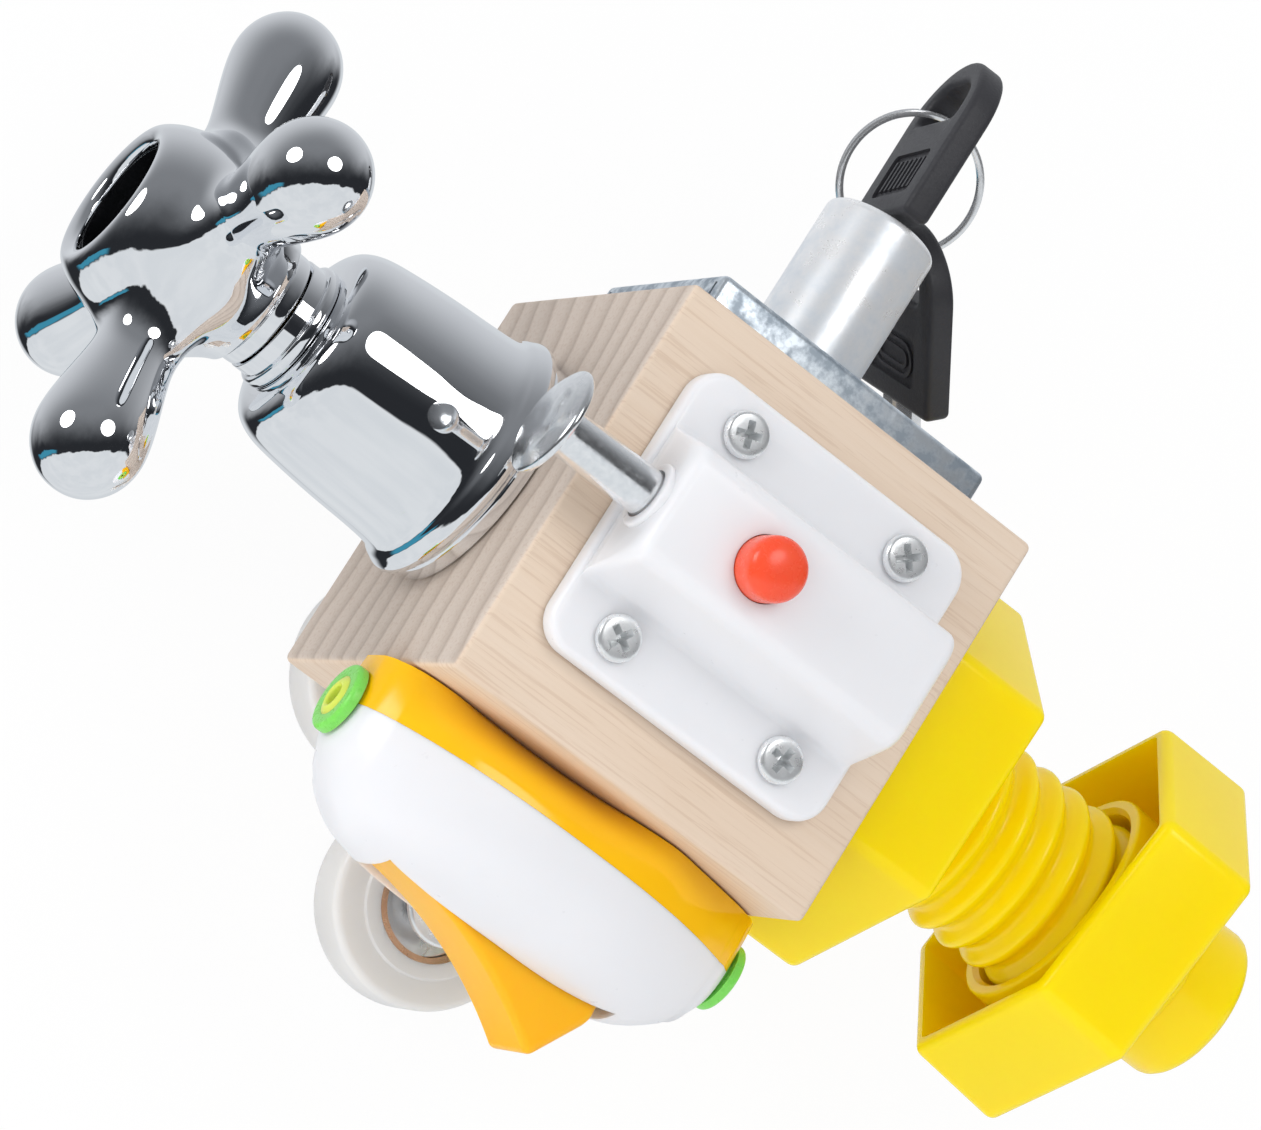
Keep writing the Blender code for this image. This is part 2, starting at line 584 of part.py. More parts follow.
def build_lock(frame, key_frame, materials, screw_mesh):
    """The drawer lock on the back edge's face: tray, barrel, plug, tongue and screws."""
    zinc = materials["zinc"]
    top = GAP + TRAY_HEIGHT
    middle = lay_over(TRAY_SHIFT_X, TRAY_SHIFT_Y)
    tray = add_mesh(box((-TRAY_LENGTH / 2, -TRAY_WIDTH / 2, GAP), (TRAY_LENGTH / 2, TRAY_WIDTH / 2, top)),
                    "lock_tray", zinc, frame, middle)
    bevel(tray, TRAY_ROUND)
    inner = (TRAY_LENGTH / 2 - TRAY_WALL, TRAY_WIDTH / 2 - TRAY_WALL)
    hollow = box((-inner[0], -inner[1], -OVERRUN), (inner[0], inner[1], top - TRAY_WALL))
    boolean(tray, add_mesh(hollow, "tray hollow", None, frame, middle))
    slits = []
    for x in (-1, 1):
        for y in (-1, 1):
            low = (inner[0] - TRAY_WALL, -TRAY_SLIT / 2, -OVERRUN)
            slit = box(low, (inner[0] + OVERRUN, TRAY_SLIT / 2, top - TRAY_WALL * 3 / 2))
            place = Matrix.Translation((0, y * (inner[1] - TRAY_SLIT), 0)) @ Matrix.Scale(x, 4, (1, 0, 0))
            slits.append((slit, place))
    slits_mesh = join_meshes(slits)
    boolean(tray, add_mesh(slits_mesh, "tray slits", None, frame, middle))
    tongue_top = GAP + TONGUE_HEIGHT + TONGUE_THICKNESS
    door_half = TONGUE_WIDTH / 2 + GAP
    door = box((-door_half, 0, TONGUE_HEIGHT), (door_half, TRAY_WIDTH, tongue_top + GAP))
    boolean(tray, add_mesh(door, "tongue door", None, frame))
    plug_bore = PLUG_RADIUS + GAP
    holes = [(cylinder(plug_bore, 0, top + OVERRUN, SIDES), lay_over(BARREL_SHIFT_X, 0))]
    holes += [(cylinder(SCREW_SHANK_RADIUS + GAP, 0, top + OVERRUN), lay_over(x, y))
              for x, y in lock_screw_places()]
    boolean(tray, add_mesh(join_meshes(holes), "tray holes", None, frame))

    barrel_foot = top + GAP
    barrel_top = barrel_foot + BARREL_HEIGHT
    chamfer = BARREL_ROUND / 2
    barrel = ([(plug_bore, barrel_foot), (BARREL_RADIUS, barrel_foot)]
              + arc((BARREL_RADIUS - BARREL_ROUND, barrel_top - BARREL_ROUND), BARREL_ROUND, 0, 90, 3)
              + [(plug_bore + chamfer, barrel_top), (plug_bore, barrel_top - chamfer)])
    add_mesh(turned(barrel), "lock_barrel", zinc, frame, lay_over(BARREL_SHIFT_X, 0))

    plug_foot = top - TRAY_WALL - PLUG_TAIL
    plug_top = barrel_top - PLUG_RECESS
    plug = add_mesh(cylinder(PLUG_RADIUS, plug_foot, plug_top, SIDES), "lock_plug", materials["steel"],
                    key_frame)
    half = (BLADE_THICKNESS / 2 + GAP, BLADE_WIDTH / 2 + GAP)
    slot_floor = barrel_top + KEY_STAND_OFF - BLADE_LENGTH - GAP
    boolean(plug, add_mesh(box((-half[0], -half[1], slot_floor), (half[0], half[1], plug_top + OVERRUN)),
                           "key slot", None, key_frame))
    throw = TONGUE_THROW / 2
    cam_pin = cylinder(CAM_PIN_RADIUS, GAP + TONGUE_HEIGHT, plug_foot + GAP)
    boolean(plug, add_mesh(cam_pin, "cam pin", None, key_frame, lay_over(0, -throw)), "UNION")

    tray_edge = TRAY_SHIFT_Y + TRAY_WIDTH / 2
    slot_reach = (throw + CAM_PIN_RADIUS + GAP, CAM_PIN_RADIUS + CAM_SLOT_SLACK)
    tongue_back = -throw - slot_reach[1] - TONGUE_BACK
    plate = box((-TONGUE_WIDTH / 2, tongue_back, GAP + TONGUE_HEIGHT), (TONGUE_WIDTH / 2, tray_edge, tongue_top))
    tongue = add_mesh(plate, "lock_tongue", materials["steel"], frame)
    slot = box((-slot_reach[0], -slot_reach[1], 0), (slot_reach[0], slot_reach[1], top))
    boolean(tongue, add_mesh(slot, "cam slot", None, frame, lay_over(BARREL_SHIFT_X, -throw)))
    for number, (x, y) in enumerate(lock_screw_places(), 1):
        add_object(screw_mesh, f"lock_screw_{number}", zinc, frame, lay_over(x, y, top + GAP))
    return barrel_top


def key_blade(name, frame, material):
    """A notched blade below its head's foot."""
    half = BLADE_WIDTH / 2
    outline = [(half, BLADE_ROOT), (-half, BLADE_ROOT), (-half, BLADE_TIP - BLADE_LENGTH), (0, -BLADE_LENGTH)]
    pitch = (BLADE_LENGTH - BLADE_TIP) / (BLADE_NOTCH_COUNT + 2)
    for number in range(BLADE_NOTCH_COUNT):
        middle = -BLADE_LENGTH + BLADE_TIP + pitch * (number + 1)
        outline += [(half, middle - pitch / 3), (half - BLADE_NOTCH, middle), (half, middle + pitch / 3)]
    bm = prism(outline, -BLADE_THICKNESS / 2, BLADE_THICKNESS / 2)
    return add_mesh(bm, name, material, frame, stand_up())


def stand_up():
    """Return the turn that takes an outline in X and Y to Y and Z, with its thickness along X."""
    return Matrix(((0, 0, 1, 0), (1, 0, 0, 0), (0, 1, 0, 0), (0, 0, 0, 1)))


def head_hole_middle():
    """Return the height of the middle of a key head's hole above the head's foot."""
    return HEAD_LENGTH - HEAD_RIM - HEAD_HOLE_HEIGHT / 2


def key_head(name, frame, material):
    """A flat key head with a round top, a hole for the ring and a sunk panel on both sides."""
    radius = HEAD_WIDTH / 2
    crown = arc((0, HEAD_LENGTH - radius), radius, 0, 180, ARC_STEPS * 3)
    foot = HEAD_FOOT_WIDTH / 2
    head = add_mesh(prism([(-foot, 0), (foot, 0)] + crown, -HEAD_THICKNESS / 2, HEAD_THICKNESS / 2),
                    name, material, frame, stand_up())
    bevel(head, HEAD_ROUND)
    hole_radius = radius - HEAD_RIM
    middle = head_hole_middle()
    low, high = middle - HEAD_HOLE_HEIGHT / 2, middle + HEAD_HOLE_HEIGHT / 2
    bend = min(hole_radius, HEAD_HOLE_HEIGHT) * 2 / 3
    hole = (arc((hole_radius - bend, high - bend), bend, 0, 90)
            + arc((bend - hole_radius, high - bend), bend, 90, 180)
            + [(-hole_radius, low), (hole_radius, low)])
    boolean(head, add_mesh(prism(hole, -HEAD_THICKNESS, HEAD_THICKNESS), f"{name} hole cutter", None, frame,
                           stand_up()))
    panel_top = low - HEAD_BRIDGE
    panel_foot = panel_top - HEAD_PANEL_HEIGHT
    side = foot - HEAD_RIM
    for face in (-1, 1):
        level = face * (HEAD_THICKNESS / 2 - HEAD_PANEL_DEPTH)
        low_face, high_face = sorted((level, face * HEAD_THICKNESS))
        outline = [(-side, panel_foot), (side, panel_foot), (side, panel_top), (-side, panel_top)]
        boolean(head, add_mesh(prism(outline, low_face, high_face), f"{name} panel {face}", None, frame,
                               stand_up()))
    pocket = (BLADE_THICKNESS / 2 + GAP, BLADE_WIDTH / 2 + GAP)
    boolean(head, add_mesh(box((-pocket[0], -pocket[1], -OVERRUN), (pocket[0], pocket[1], BLADE_ROOT + GAP)),
                           f"{name} pocket", None, frame))
    return head


def build_keys(frame, key_frame, barrel_top, materials):
    """The key in the lock, the ring through its head, and the spare key on the ring."""
    foot = lay_over(0, 0, barrel_top + KEY_STAND_OFF)
    lock_key = make_empty("lock key frame", foot, key_frame)
    key_blade("key_blade", lock_key, materials["steel"])
    key_head("key_head", lock_key, materials["black"])

    normal = Vector(RING_NORMAL_SHARES).normalized()
    hang = Vector(RING_HANG_SHARES)
    hang = (hang - normal * hang.dot(normal)).normalized()
    hole_low = head_hole_middle() - HEAD_HOLE_HEIGHT / 2
    passing_height = barrel_top + KEY_STAND_OFF + hole_low + RING_WIRE / 2 + RING_LIFT
    passing = key_frame.matrix_local @ Vector((0, RING_SIDE, passing_height))
    centre = passing + hang * RING_RADIUS
    turn = Matrix((hang, normal.cross(hang), normal)).transposed().to_4x4()
    ring_frame = make_empty("ring frame", Matrix.Translation(centre) @ turn, frame)
    wire = turned_ring(RING_RADIUS, RING_WIRE / 2, RING_SIDES, 8)
    add_mesh(wire, "key_ring", materials["steel"], ring_frame)

    seat = Matrix.Rotation(SPARE_KEY_ANGLE, 4, "Z") @ Vector((RING_RADIUS, 0, 0))
    place = Matrix.Translation(centre) @ turn @ seat
    up = -Vector(SPARE_KEY_DOWN_SHARES).normalized()
    side = Vector(SPARE_KEY_SIDE_SHARES)
    side = (side - up * side.dot(up)).normalized()
    pose = Matrix((side.cross(up), side, up)).transposed().to_4x4()
    hole_top = head_hole_middle() + HEAD_HOLE_HEIGHT / 2 - RING_WIRE / 2 - SPARE_KEY_SLACK
    spare = make_empty("spare key frame",
                       Matrix.Translation(place) @ pose @ lay_over(0, SPARE_KEY_OFFSET, -hole_top), frame)
    key_blade("spare_key_blade", spare, materials["steel"])
    key_head("spare_key_head", spare, materials["black"])
    return ring_frame, spare


def turned_ring(radius, wire_radius, sides, wire_sides):
    """Return a ring of round wire about Z."""
    profile = [(radius + wire_radius * math.cos(math.tau * step / wire_sides),
                wire_radius * math.sin(math.tau * step / wire_sides)) for step in range(wire_sides)]
    return turned(profile, sides)


def build_latch(frame, materials, screw_mesh):
    """The push latch on the front face: housing, sprung pin, button and four screws."""
    centre = lay_over(LATCH_SHIFT_X, LATCH_SHIFT_Y)
    latch = make_empty("latch frame", centre, frame)
    outline = rounded_rectangle(LATCH_LENGTH, LATCH_WIDTH, LATCH_CORNER)
    plate = add_mesh(prism(outline, GAP, GAP + LATCH_PLATE), "latch_housing", materials["white"], latch)
    bevel(plate, LATCH_EDGE_ROUND)
    boolean(plate, add_mesh(latch_ridge(), "latch ridge", None, latch), "UNION")
    along = Matrix.Rotation(math.pi / 2, 4, "Y")
    pin_line = lay_over(0, 0, PIN_HEIGHT) @ along
    ridge_end = RIDGE_LENGTH / 2
    pin_back = PIN_INNER - ridge_end
    chamber_end = pin_back + PIN_TRAVEL + SPRING_SOLID_LENGTH + GAP
    button_place = lay_over(BUTTON_SHIFT_X, 0)
    button_floor = RIDGE_HEIGHT - BUTTON_LEG_DEPTH - BUTTON_TRAVEL - GAP * 2
    boolean(plate, add_mesh(cylinder(BUTTON_RADIUS + GAP, button_floor, RIDGE_HEIGHT + OVERRUN, SIDES),
                            "button well", None, latch, button_place))
    bores = [(cylinder(PIN_RADIUS + GAP, -LATCH_LENGTH, pin_back + OVERRUN, SIDES), pin_line),
             (cylinder(SPRING_CHAMBER_RADIUS, pin_back - OVERRUN, chamber_end, SIDES), pin_line)]
    for number, (bm, matrix) in enumerate(bores):
        boolean(plate, add_mesh(bm, f"latch bore {number}", None, latch, matrix))
    holes = join_meshes([(cylinder(SCREW_SHANK_RADIUS + GAP, -OVERRUN, LATCH_PLATE + OVERRUN), lay_over(x, y))
                         for x, y in latch_screw_places()])
    boolean(plate, add_mesh(holes, "latch holes", None, frame))

    rim = PIN_HEAD_RIM / 2
    neck = ridge_end + PIN_REACH
    head_end = neck + PIN_HEAD_THICKNESS
    shaft = ([(0, -pin_back), (PIN_RADIUS, -pin_back), (PIN_RADIUS, neck)]
             + arc((PIN_HEAD_RADIUS - rim, neck + rim), rim, -90, 60, 4)
             + [(PIN_HEAD_RADIUS * 2 / 3, head_end - rim / 2), (PIN_HEAD_RADIUS / 3, head_end),
                (0, head_end)])
    add_mesh(turned(shaft), "latch_pin", materials["zinc"], latch,
             lay_over(0, 0, PIN_HEIGHT) @ Matrix.Rotation(-math.pi / 2, 4, "Y"))

    spring = [(PIN_RADIUS - SPRING_WALL, pin_back + GAP), (PIN_RADIUS, pin_back + GAP),
              (PIN_RADIUS, chamber_end - GAP), (PIN_RADIUS - SPRING_WALL, chamber_end - GAP)]
    add_mesh(turned(spring, SMALL_SIDES), "latch_spring", materials["steel"], latch, pin_line)

    cap_foot = RIDGE_HEIGHT - GAP
    shoulder = RIDGE_HEIGHT + BUTTON_PROUD
    dome_top = shoulder + BUTTON_DOME
    dome = [(BUTTON_RADIUS * math.cos(turn), shoulder + BUTTON_DOME * math.sin(turn))
            for turn in (math.radians(90 * step / 5) for step in range(5))]
    leg_foot = RIDGE_HEIGHT - BUTTON_LEG_DEPTH
    button = add_mesh(turned([(0, leg_foot), (BUTTON_RADIUS, leg_foot)] + dome + [(0, dome_top)]),
                      "latch_button", materials["red"], latch, button_place)
    fork = PIN_RADIUS + GAP
    pass_top = PIN_HEIGHT + PIN_RADIUS + BUTTON_TRAVEL + GAP
    across = BUTTON_RADIUS + OVERRUN
    gap_box = box((-across, -fork, leg_foot - OVERRUN), (across, fork, pass_top))
    boolean(button, add_mesh(gap_box, "button fork", None, latch, button_place))
    for number, (x, y) in enumerate(latch_screw_places(), 1):
        add_object(screw_mesh, f"latch_screw_{number}", materials["zinc"], frame,
                   lay_over(x, y, GAP + LATCH_PLATE + GAP) @ Matrix.Rotation(CROSS_TURN * number, 4, "Z"))


def latch_ridge():
    """The ridge over the latch's pin: a rounded bar that is wider at its foot."""
    foot, crest = RIDGE_FOOT_WIDTH / 2, RIDGE_CREST_WIDTH / 2
    low = GAP + LATCH_PLATE / 2
    loops = []
    for share in (0, 1):
        for end in ((0, 1) if share == 0 else (1, 0)):
            place = (share - 1 / 2) * 2 * (RIDGE_LENGTH / 2 - end * RIDGE_END_SLOPE)
            drop = (1 - end) * RIDGE_ROUND
            half = crest - drop / 2
            side, level = half - RIDGE_ROUND, RIDGE_HEIGHT - drop - RIDGE_ROUND
            crown = arc((side, level), RIDGE_ROUND, 15, 90) + arc((-side, level), RIDGE_ROUND, 90, 165)
            loops.append([(place, -foot, low), (place, foot, low)] + [(place, y, z) for y, z in crown])
    return skin(loops)


def hexagon(radius, turn=0.0):
    """Return a hexagon's six corners."""
    return [(radius * math.cos(turn + side * math.tau / 6), radius * math.sin(turn + side * math.tau / 6))
            for side in range(6)]


def thread_radius(height, turn, low, high):
    """Return the helical thread's radius at a height and an angle; it fades out over a pitch at both ends."""
    phase = height / THREAD_PITCH - turn / math.tau
    fade = max(0.0, min(1.0, (height - low) / THREAD_PITCH, (high - height) / THREAD_PITCH))
    ridge = (1 - math.cos(math.tau * phase)) / 2
    return THREAD_ROOT_RADIUS + (THREAD_CREST_RADIUS - THREAD_ROOT_RADIUS) * ridge * fade


def threaded_shank():
    """The bolt's shank: a coarse helical thread and a plain round end."""
    low, high = HEX_HEIGHT, HEX_HEIGHT + THREAD_LENGTH
    count = round(THREAD_LENGTH / THREAD_PITCH * THREAD_STEPS_PER_PITCH)
    turns = [math.tau * side / THREAD_SIDES for side in range(THREAD_SIDES)]
    levels = [low - HEX_ROUND * 2] + [low + THREAD_LENGTH * step / count for step in range(count + 1)]
    loops = []
    for z in levels:
        radii = [thread_radius(z, turn, low, high) for turn in turns]
        loops.append([(radius * math.cos(turn), radius * math.sin(turn), z) for radius, turn in zip(radii, turns)])
    tip = high + BOLT_END_LENGTH
    end = [(BOLT_END_RADIUS, high + GAP)]
    end += [(BOLT_END_RADIUS * math.cos(turn), tip - BOLT_END_DOME * (1 - math.sin(turn)))
            for turn in (math.radians(15 * step) for step in range(6))]
    loops += [[(radius * math.cos(turn), radius * math.sin(turn), z) for turn in turns] for radius, z in end]
    return skin(loops)


def build_toy_bolt(frame, cube, materials):
    """The big toy bolt on the right face, the stud that holds it and the nut on its thread."""
    yellow = materials["yellow"]
    place = lay_over(BOLT_SHIFT, 0)
    bolt = add_mesh(prism(hexagon(HEX_RADIUS, HEX_ANGLE), GAP, HEX_HEIGHT), "toy_bolt", yellow, frame, place)
    bevel(bolt, HEX_ROUND)
    groove = [(HEX_HOLLOW_INNER, -OVERRUN), (HEX_HOLLOW_OUTER, -OVERRUN),
              (HEX_HOLLOW_OUTER, HEX_HOLLOW_DEPTH), (HEX_HOLLOW_INNER, HEX_HOLLOW_DEPTH)]
    boolean(bolt, add_mesh(turned(groove), "bolt hollow", None, frame, place))
    boolean(bolt, add_mesh(threaded_shank(), "bolt shank", None, frame, place), "UNION")
    stud_top = STUD_LENGTH / 2
    well = cylinder(STUD_RADIUS + GAP, -OVERRUN, stud_top + GAP)
    boolean(bolt, add_mesh(well, "stud well", None, frame, place))
    add_mesh(cylinder(STUD_RADIUS, -stud_top, stud_top), "bolt_stud", materials["zinc"], frame, place)

    tilt = Matrix.Rotation(NUT_TILT_Z, 4, "Z") @ Matrix.Rotation(NUT_TILT_Y, 4, "Y")
    facing = frame.matrix_local.to_3x3().to_4x4()
    nut_place = Matrix.Translation((CUBE_EDGE / 2 + NUT_STAND_OFF, BOLT_SHIFT, 0))
    nut_frame = make_empty("nut frame", nut_place @ tilt @ facing, cube)
    half = NUT_HEIGHT / 2
    loops = [[(x, y, -half) for x, y in hexagon(NUT_RADIUS - NUT_TAPER, NUT_ANGLE)],
             [(x, y, half) for x, y in hexagon(NUT_RADIUS + NUT_TAPER, NUT_ANGLE)]]
    nut = add_mesh(skin(loops), "toy_nut", yellow, nut_frame)
    bevel(nut, HEX_ROUND)
    inner = NUT_RADIUS - NUT_TAPER - NUT_WALL / math.cos(math.pi / 6)
    hollow = prism(hexagon(inner, NUT_ANGLE), -half - OVERRUN, half - NUT_WEB)
    boolean(nut, add_mesh(hollow, "nut hollow", None, nut_frame))
    boss = cylinder(NUT_BOSS_RADIUS, -half + NUT_BOSS_RECESS, half - NUT_WEB / 2, SIDES)
    boolean(nut, add_mesh(boss, "nut boss", None, nut_frame), "UNION")
    bore = THREAD_CREST_RADIUS + NUT_SLACK
    boolean(nut, add_mesh(cylinder(bore, -NUT_HEIGHT, NUT_HEIGHT, SIDES), "nut bore", None, nut_frame))


def switch_stations(inset=0.0):
    """Yield each cross-section's place, foot half width, seam half width and crest height."""
    half = SWITCH_WIDTH / 2
    rows = zip(SWITCH_PLACE_SHARES, SWITCH_FOOT_SHARES, SWITCH_SEAM_SHARES, SWITCH_CREST_SHARES)
    for place, foot, seam, crest in rows:
        yield (place * (SWITCH_LENGTH - 2 * inset), half * foot - inset, half * seam - inset,
               SWITCH_HEIGHT * crest - inset)


def side_wall(foot, seam, low, high):
    """Return the wall's points from the foot to the seam, which swells out between them."""
    return [(foot + (seam - foot) * swell, low + (high - low) * rise)
            for swell, rise in SWITCH_SWELL_SHARES]


def crest_arch(seam, low, high, steps=10):
    """Return the cover's arch from one side of the seam to the other."""
    points = []
    for step in range(steps + 1):
        turn = math.pi * step / steps
        flat = 2 / SWITCH_FULLNESS
        points.append((seam * math.copysign(abs(math.cos(turn)) ** flat, math.cos(turn)),
                       low + (high - low) * abs(math.sin(turn)) ** flat))
    return points


def build_switch(frame, materials, screw_mesh):
    """The rocker switch on the lower face: two shells, rocker, pin, cord grommets and screws."""
    body = make_empty("switch frame", lay_over(SWITCH_SHIFT_X, SWITCH_SHIFT_Y), frame)
    base_loops, cover_loops, inner_loops = [], [], []
    for x, foot, seam, crest in switch_stations():
        wall = side_wall(foot, seam, GAP, SWITCH_SEAM - GAP)
        base_loops.append([(x, y, z) for y, z in wall] + [(x, -y, z) for y, z in wall[::-1]])
        cover_loops.append([(x, y, z) for y, z in crest_arch(seam, SWITCH_SEAM, crest)])
    for x, foot, seam, crest in switch_stations(SWITCH_WALL):
        wall = side_wall(foot, seam, GAP + SWITCH_WALL, SWITCH_SEAM)
        inner_loops.append([(x, -y, z) for y, z in wall[::-1]] + [(x, y, z) for y, z in wall[:-1]]
                           + [(x, y, z) for y, z in crest_arch(seam, SWITCH_SEAM, crest)][:-1])
    base = add_mesh(skin(base_loops), "switch_base", materials["yellow"], body)
    cover = add_mesh(skin(cover_loops), "switch_cover", materials["white"], body)
    hollow = add_mesh(skin(inner_loops), "switch hollow", None, body)
    ends = join_meshes([(cylinder(GROMMET_NECK_RADIUS + GAP, -SWITCH_WALL * 2, OVERRUN),
                         grommet_place(side)) for side in (-1, 1)])
    end_holes = add_mesh(ends, "cord holes", None, body)
    for shell in (base, cover):
        boolean(shell, hollow)
        boolean(shell, end_holes)
    holes = join_meshes([(cylinder(SCREW_SHANK_RADIUS + GAP, -OVERRUN, SWITCH_SEAM), lay_over(x, y))
                         for x, y in switch_screw_places()])
    boolean(base, add_mesh(holes, "switch screw holes", None, frame))

    reach = ROCKER_HALF_LENGTH * math.cos(ROCKER_TILT) + ROCKER_HEIGHT * math.sin(ROCKER_TILT) + GAP
    half_width = ROCKER_WIDTH / 2 + GAP
    window = box((-reach, -half_width, SWITCH_SEAM), (reach, half_width, SWITCH_HEIGHT + OVERRUN))
    rocker_line = lay_over(ROCKER_SHIFT_X, 0)
    pivot = lay_over(ROCKER_SHIFT_X, 0, ROCKER_PIVOT_HEIGHT)
    lying = Matrix.Rotation(math.pi / 2, 4, "X")
    boss = cylinder(PIVOT_BOSS_RADIUS, -PIVOT_BOSS_SPAN / 2, PIVOT_BOSS_SPAN / 2)
    boolean(cover, add_mesh(boss, "pivot bosses", None, body, pivot @ lying), "UNION")
    pin_half = ROCKER_PIN_LENGTH / 2
    socket = cylinder(ROCKER_PIN_RADIUS + GAP, -pin_half - GAP, pin_half + GAP)
    boolean(cover, add_mesh(socket, "pin sockets", None, body, pivot @ lying))
    boolean(cover, add_mesh(window, "rocker window", None, body, rocker_line))
    add_mesh(cylinder(ROCKER_PIN_RADIUS, -pin_half, pin_half), "rocker_pin", materials["steel"], body,
             pivot @ lying)

    rocker_frame = make_empty("rocker frame", pivot @ Matrix.Rotation(-ROCKER_TILT, 4, "Y"), body)
    rocker = add_mesh(prism(rocker_outline(), -ROCKER_WIDTH / 2, ROCKER_WIDTH / 2), "switch_rocker",
                      materials["amber"], rocker_frame, lying)
    bevel(rocker, ROCKER_ROUND)
    bore = cylinder(ROCKER_PIN_RADIUS + GAP, -ROCKER_WIDTH, ROCKER_WIDTH)
    boolean(rocker, add_mesh(bore, "rocker bore", None, rocker_frame, lying))

    for number, side in enumerate((-1, 1), 1):
        flange = GROMMET_FLANGE
        soft = flange / 3
        profile = [(GROMMET_BORE, -SWITCH_WALL), (GROMMET_NECK_RADIUS, -SWITCH_WALL),
                   (GROMMET_NECK_RADIUS, GAP), (GROMMET_RADIUS, GAP), (GROMMET_RADIUS, flange - soft),
                   (GROMMET_RADIUS - soft, flange), (GROMMET_BORE + soft, flange), (GROMMET_BORE, flange - soft)]
        add_mesh(turned(profile, SIDES), f"switch_grommet_{number}", materials["green"], body,
                 grommet_place(side))
    for number, (x, y) in enumerate(switch_screw_places(), 1):
        add_object(screw_mesh, f"switch_screw_{number}", materials["zinc"], frame,
                   lay_over(x, y, GAP + SWITCH_WALL + GAP))


def grommet_place(side):
    """Return the matrix of a grommet: its Z points out of the switch's end."""
    return lay_over(side * SWITCH_LENGTH / 2, 0, SWITCH_SEAM) @ Matrix.Rotation(side * math.pi / 2, 4, "Y")


def rocker_outline():
    """Return the rocker's side view about its pivot: a sagging top, flared ends and a flat foot."""
    steps = 10
    top = []
    for step in range(steps + 1):
        share = 1 - 2 * step / steps
        top.append((ROCKER_HALF_LENGTH * share, ROCKER_HEIGHT - ROCKER_SAG * (1 - share**2)))
    return top + [(-ROCKER_FOOT_LENGTH, 0), (-ROCKER_HALF_LENGTH, -ROCKER_DEPTH),
                  (ROCKER_HALF_LENGTH, -ROCKER_DEPTH), (ROCKER_FOOT_LENGTH, 0)]


def build_rollers(frame, materials, screw_mesh):
    """The twin roller on the rear face: bracket, two axles, two wheels with bearings, and screws."""
    top = GAP + BRACKET_THICKNESS
    bm = bmesh.new()
    feet = [(place, BRACKET_END_RADIUS) for place in WHEEL_PLACES]
    feet += [(place, BRACKET_FOOT_RADIUS) for place in BRACKET_SCREW_PLACES]
    for (x, y), radius in feet:
        for level in (GAP, top):
            for px, py in arc((x, y), radius, 0, 360, SMALL_SIDES)[:-1]:
                bm.verts.new((px, py, level))
    hull = bmesh.ops.convex_hull(bm, input=bm.verts)
    loose = hull["geom_interior"] + hull["geom_unused"]
    spare = {part for part in loose if isinstance(part, bmesh.types.BMVert)}
    bmesh.ops.delete(bm, geom=list(spare), context="VERTS")
    bracket = add_mesh(bm, "roller_bracket", materials["zinc"], frame)
    holes = [(cylinder(AXLE_RADIUS + GAP, -OVERRUN, top + OVERRUN), lay_over(x, y)) for x, y in WHEEL_PLACES]
    holes += [(cylinder(SCREW_SHANK_RADIUS + GAP, -OVERRUN, top + OVERRUN), lay_over(x, y))
              for x, y in BRACKET_SCREW_PLACES]
    boolean(bracket, add_mesh(join_meshes(holes), "bracket holes", None, frame))

    near = GAP + WHEEL_STAND_OFF
    far = near + WHEEL_WIDTH
    seat = near + BEARING_RECESS
    bearing_far = seat + BEARING_WIDTH
    for number, (x, y) in enumerate(WHEEL_PLACES, 1):
        place = lay_over(x, y)
        rim, step = WHEEL_ROUND, WHEEL_STEP_RADIUS
        head_bore = AXLE_HEAD_RADIUS + GAP * 2
        wheel = ([(BEARING_RADIUS + GAP, near), (step, near), (step + rim, near + WHEEL_STEP_DEPTH)]
                 + arc((WHEEL_RADIUS - rim, near + WHEEL_STEP_DEPTH + rim), rim, -90, 0, 3)
                 + arc((WHEEL_RADIUS - rim, far - WHEEL_STEP_DEPTH - rim), rim, 0, 90, 3)
                 + [(step + rim, far - WHEEL_STEP_DEPTH), (step, far), (head_bore, far),
                    (head_bore, bearing_far + GAP), (BEARING_RADIUS + GAP, bearing_far + GAP)])
        add_mesh(turned(wheel), f"roller_wheel_{number}", materials["nylon"], frame, place)
        middle = (BEARING_RADIUS + BEARING_BORE) / 2
        shield = (BEARING_RADIUS - BEARING_BORE) / 4
        groove = BEARING_GROOVE
        bearing = [(BEARING_BORE, seat), (middle - shield, seat), (middle - shield, seat + groove),
                   (middle + shield, seat + groove), (middle + shield, seat), (BEARING_RADIUS, seat),
                   (BEARING_RADIUS, bearing_far), (BEARING_BORE, bearing_far)]
        add_mesh(turned(bearing, SIDES), f"roller_bearing_{number}", materials["steel"], frame, place)
        head = bearing_far + GAP
        shoulder = top + GAP
        axle = [(0, GAP), (AXLE_RADIUS, GAP), (AXLE_RADIUS, shoulder), (AXLE_SHOULDER_RADIUS, shoulder),
                (AXLE_SHOULDER_RADIUS, seat - GAP), (AXLE_RADIUS, seat - GAP), (AXLE_RADIUS, head),
                (AXLE_HEAD_RADIUS, head), (AXLE_HEAD_RADIUS, head + AXLE_HEAD_HEIGHT),
                (0, head + AXLE_HEAD_HEIGHT)]
        add_mesh(turned(axle, SMALL_SIDES), f"roller_axle_{number}", materials["zinc"], frame, place)
    for number, (x, y) in enumerate(BRACKET_SCREW_PLACES, 1):
        add_object(screw_mesh, f"bracket_screw_{number}", materials["zinc"], frame, lay_over(x, y, top + GAP))


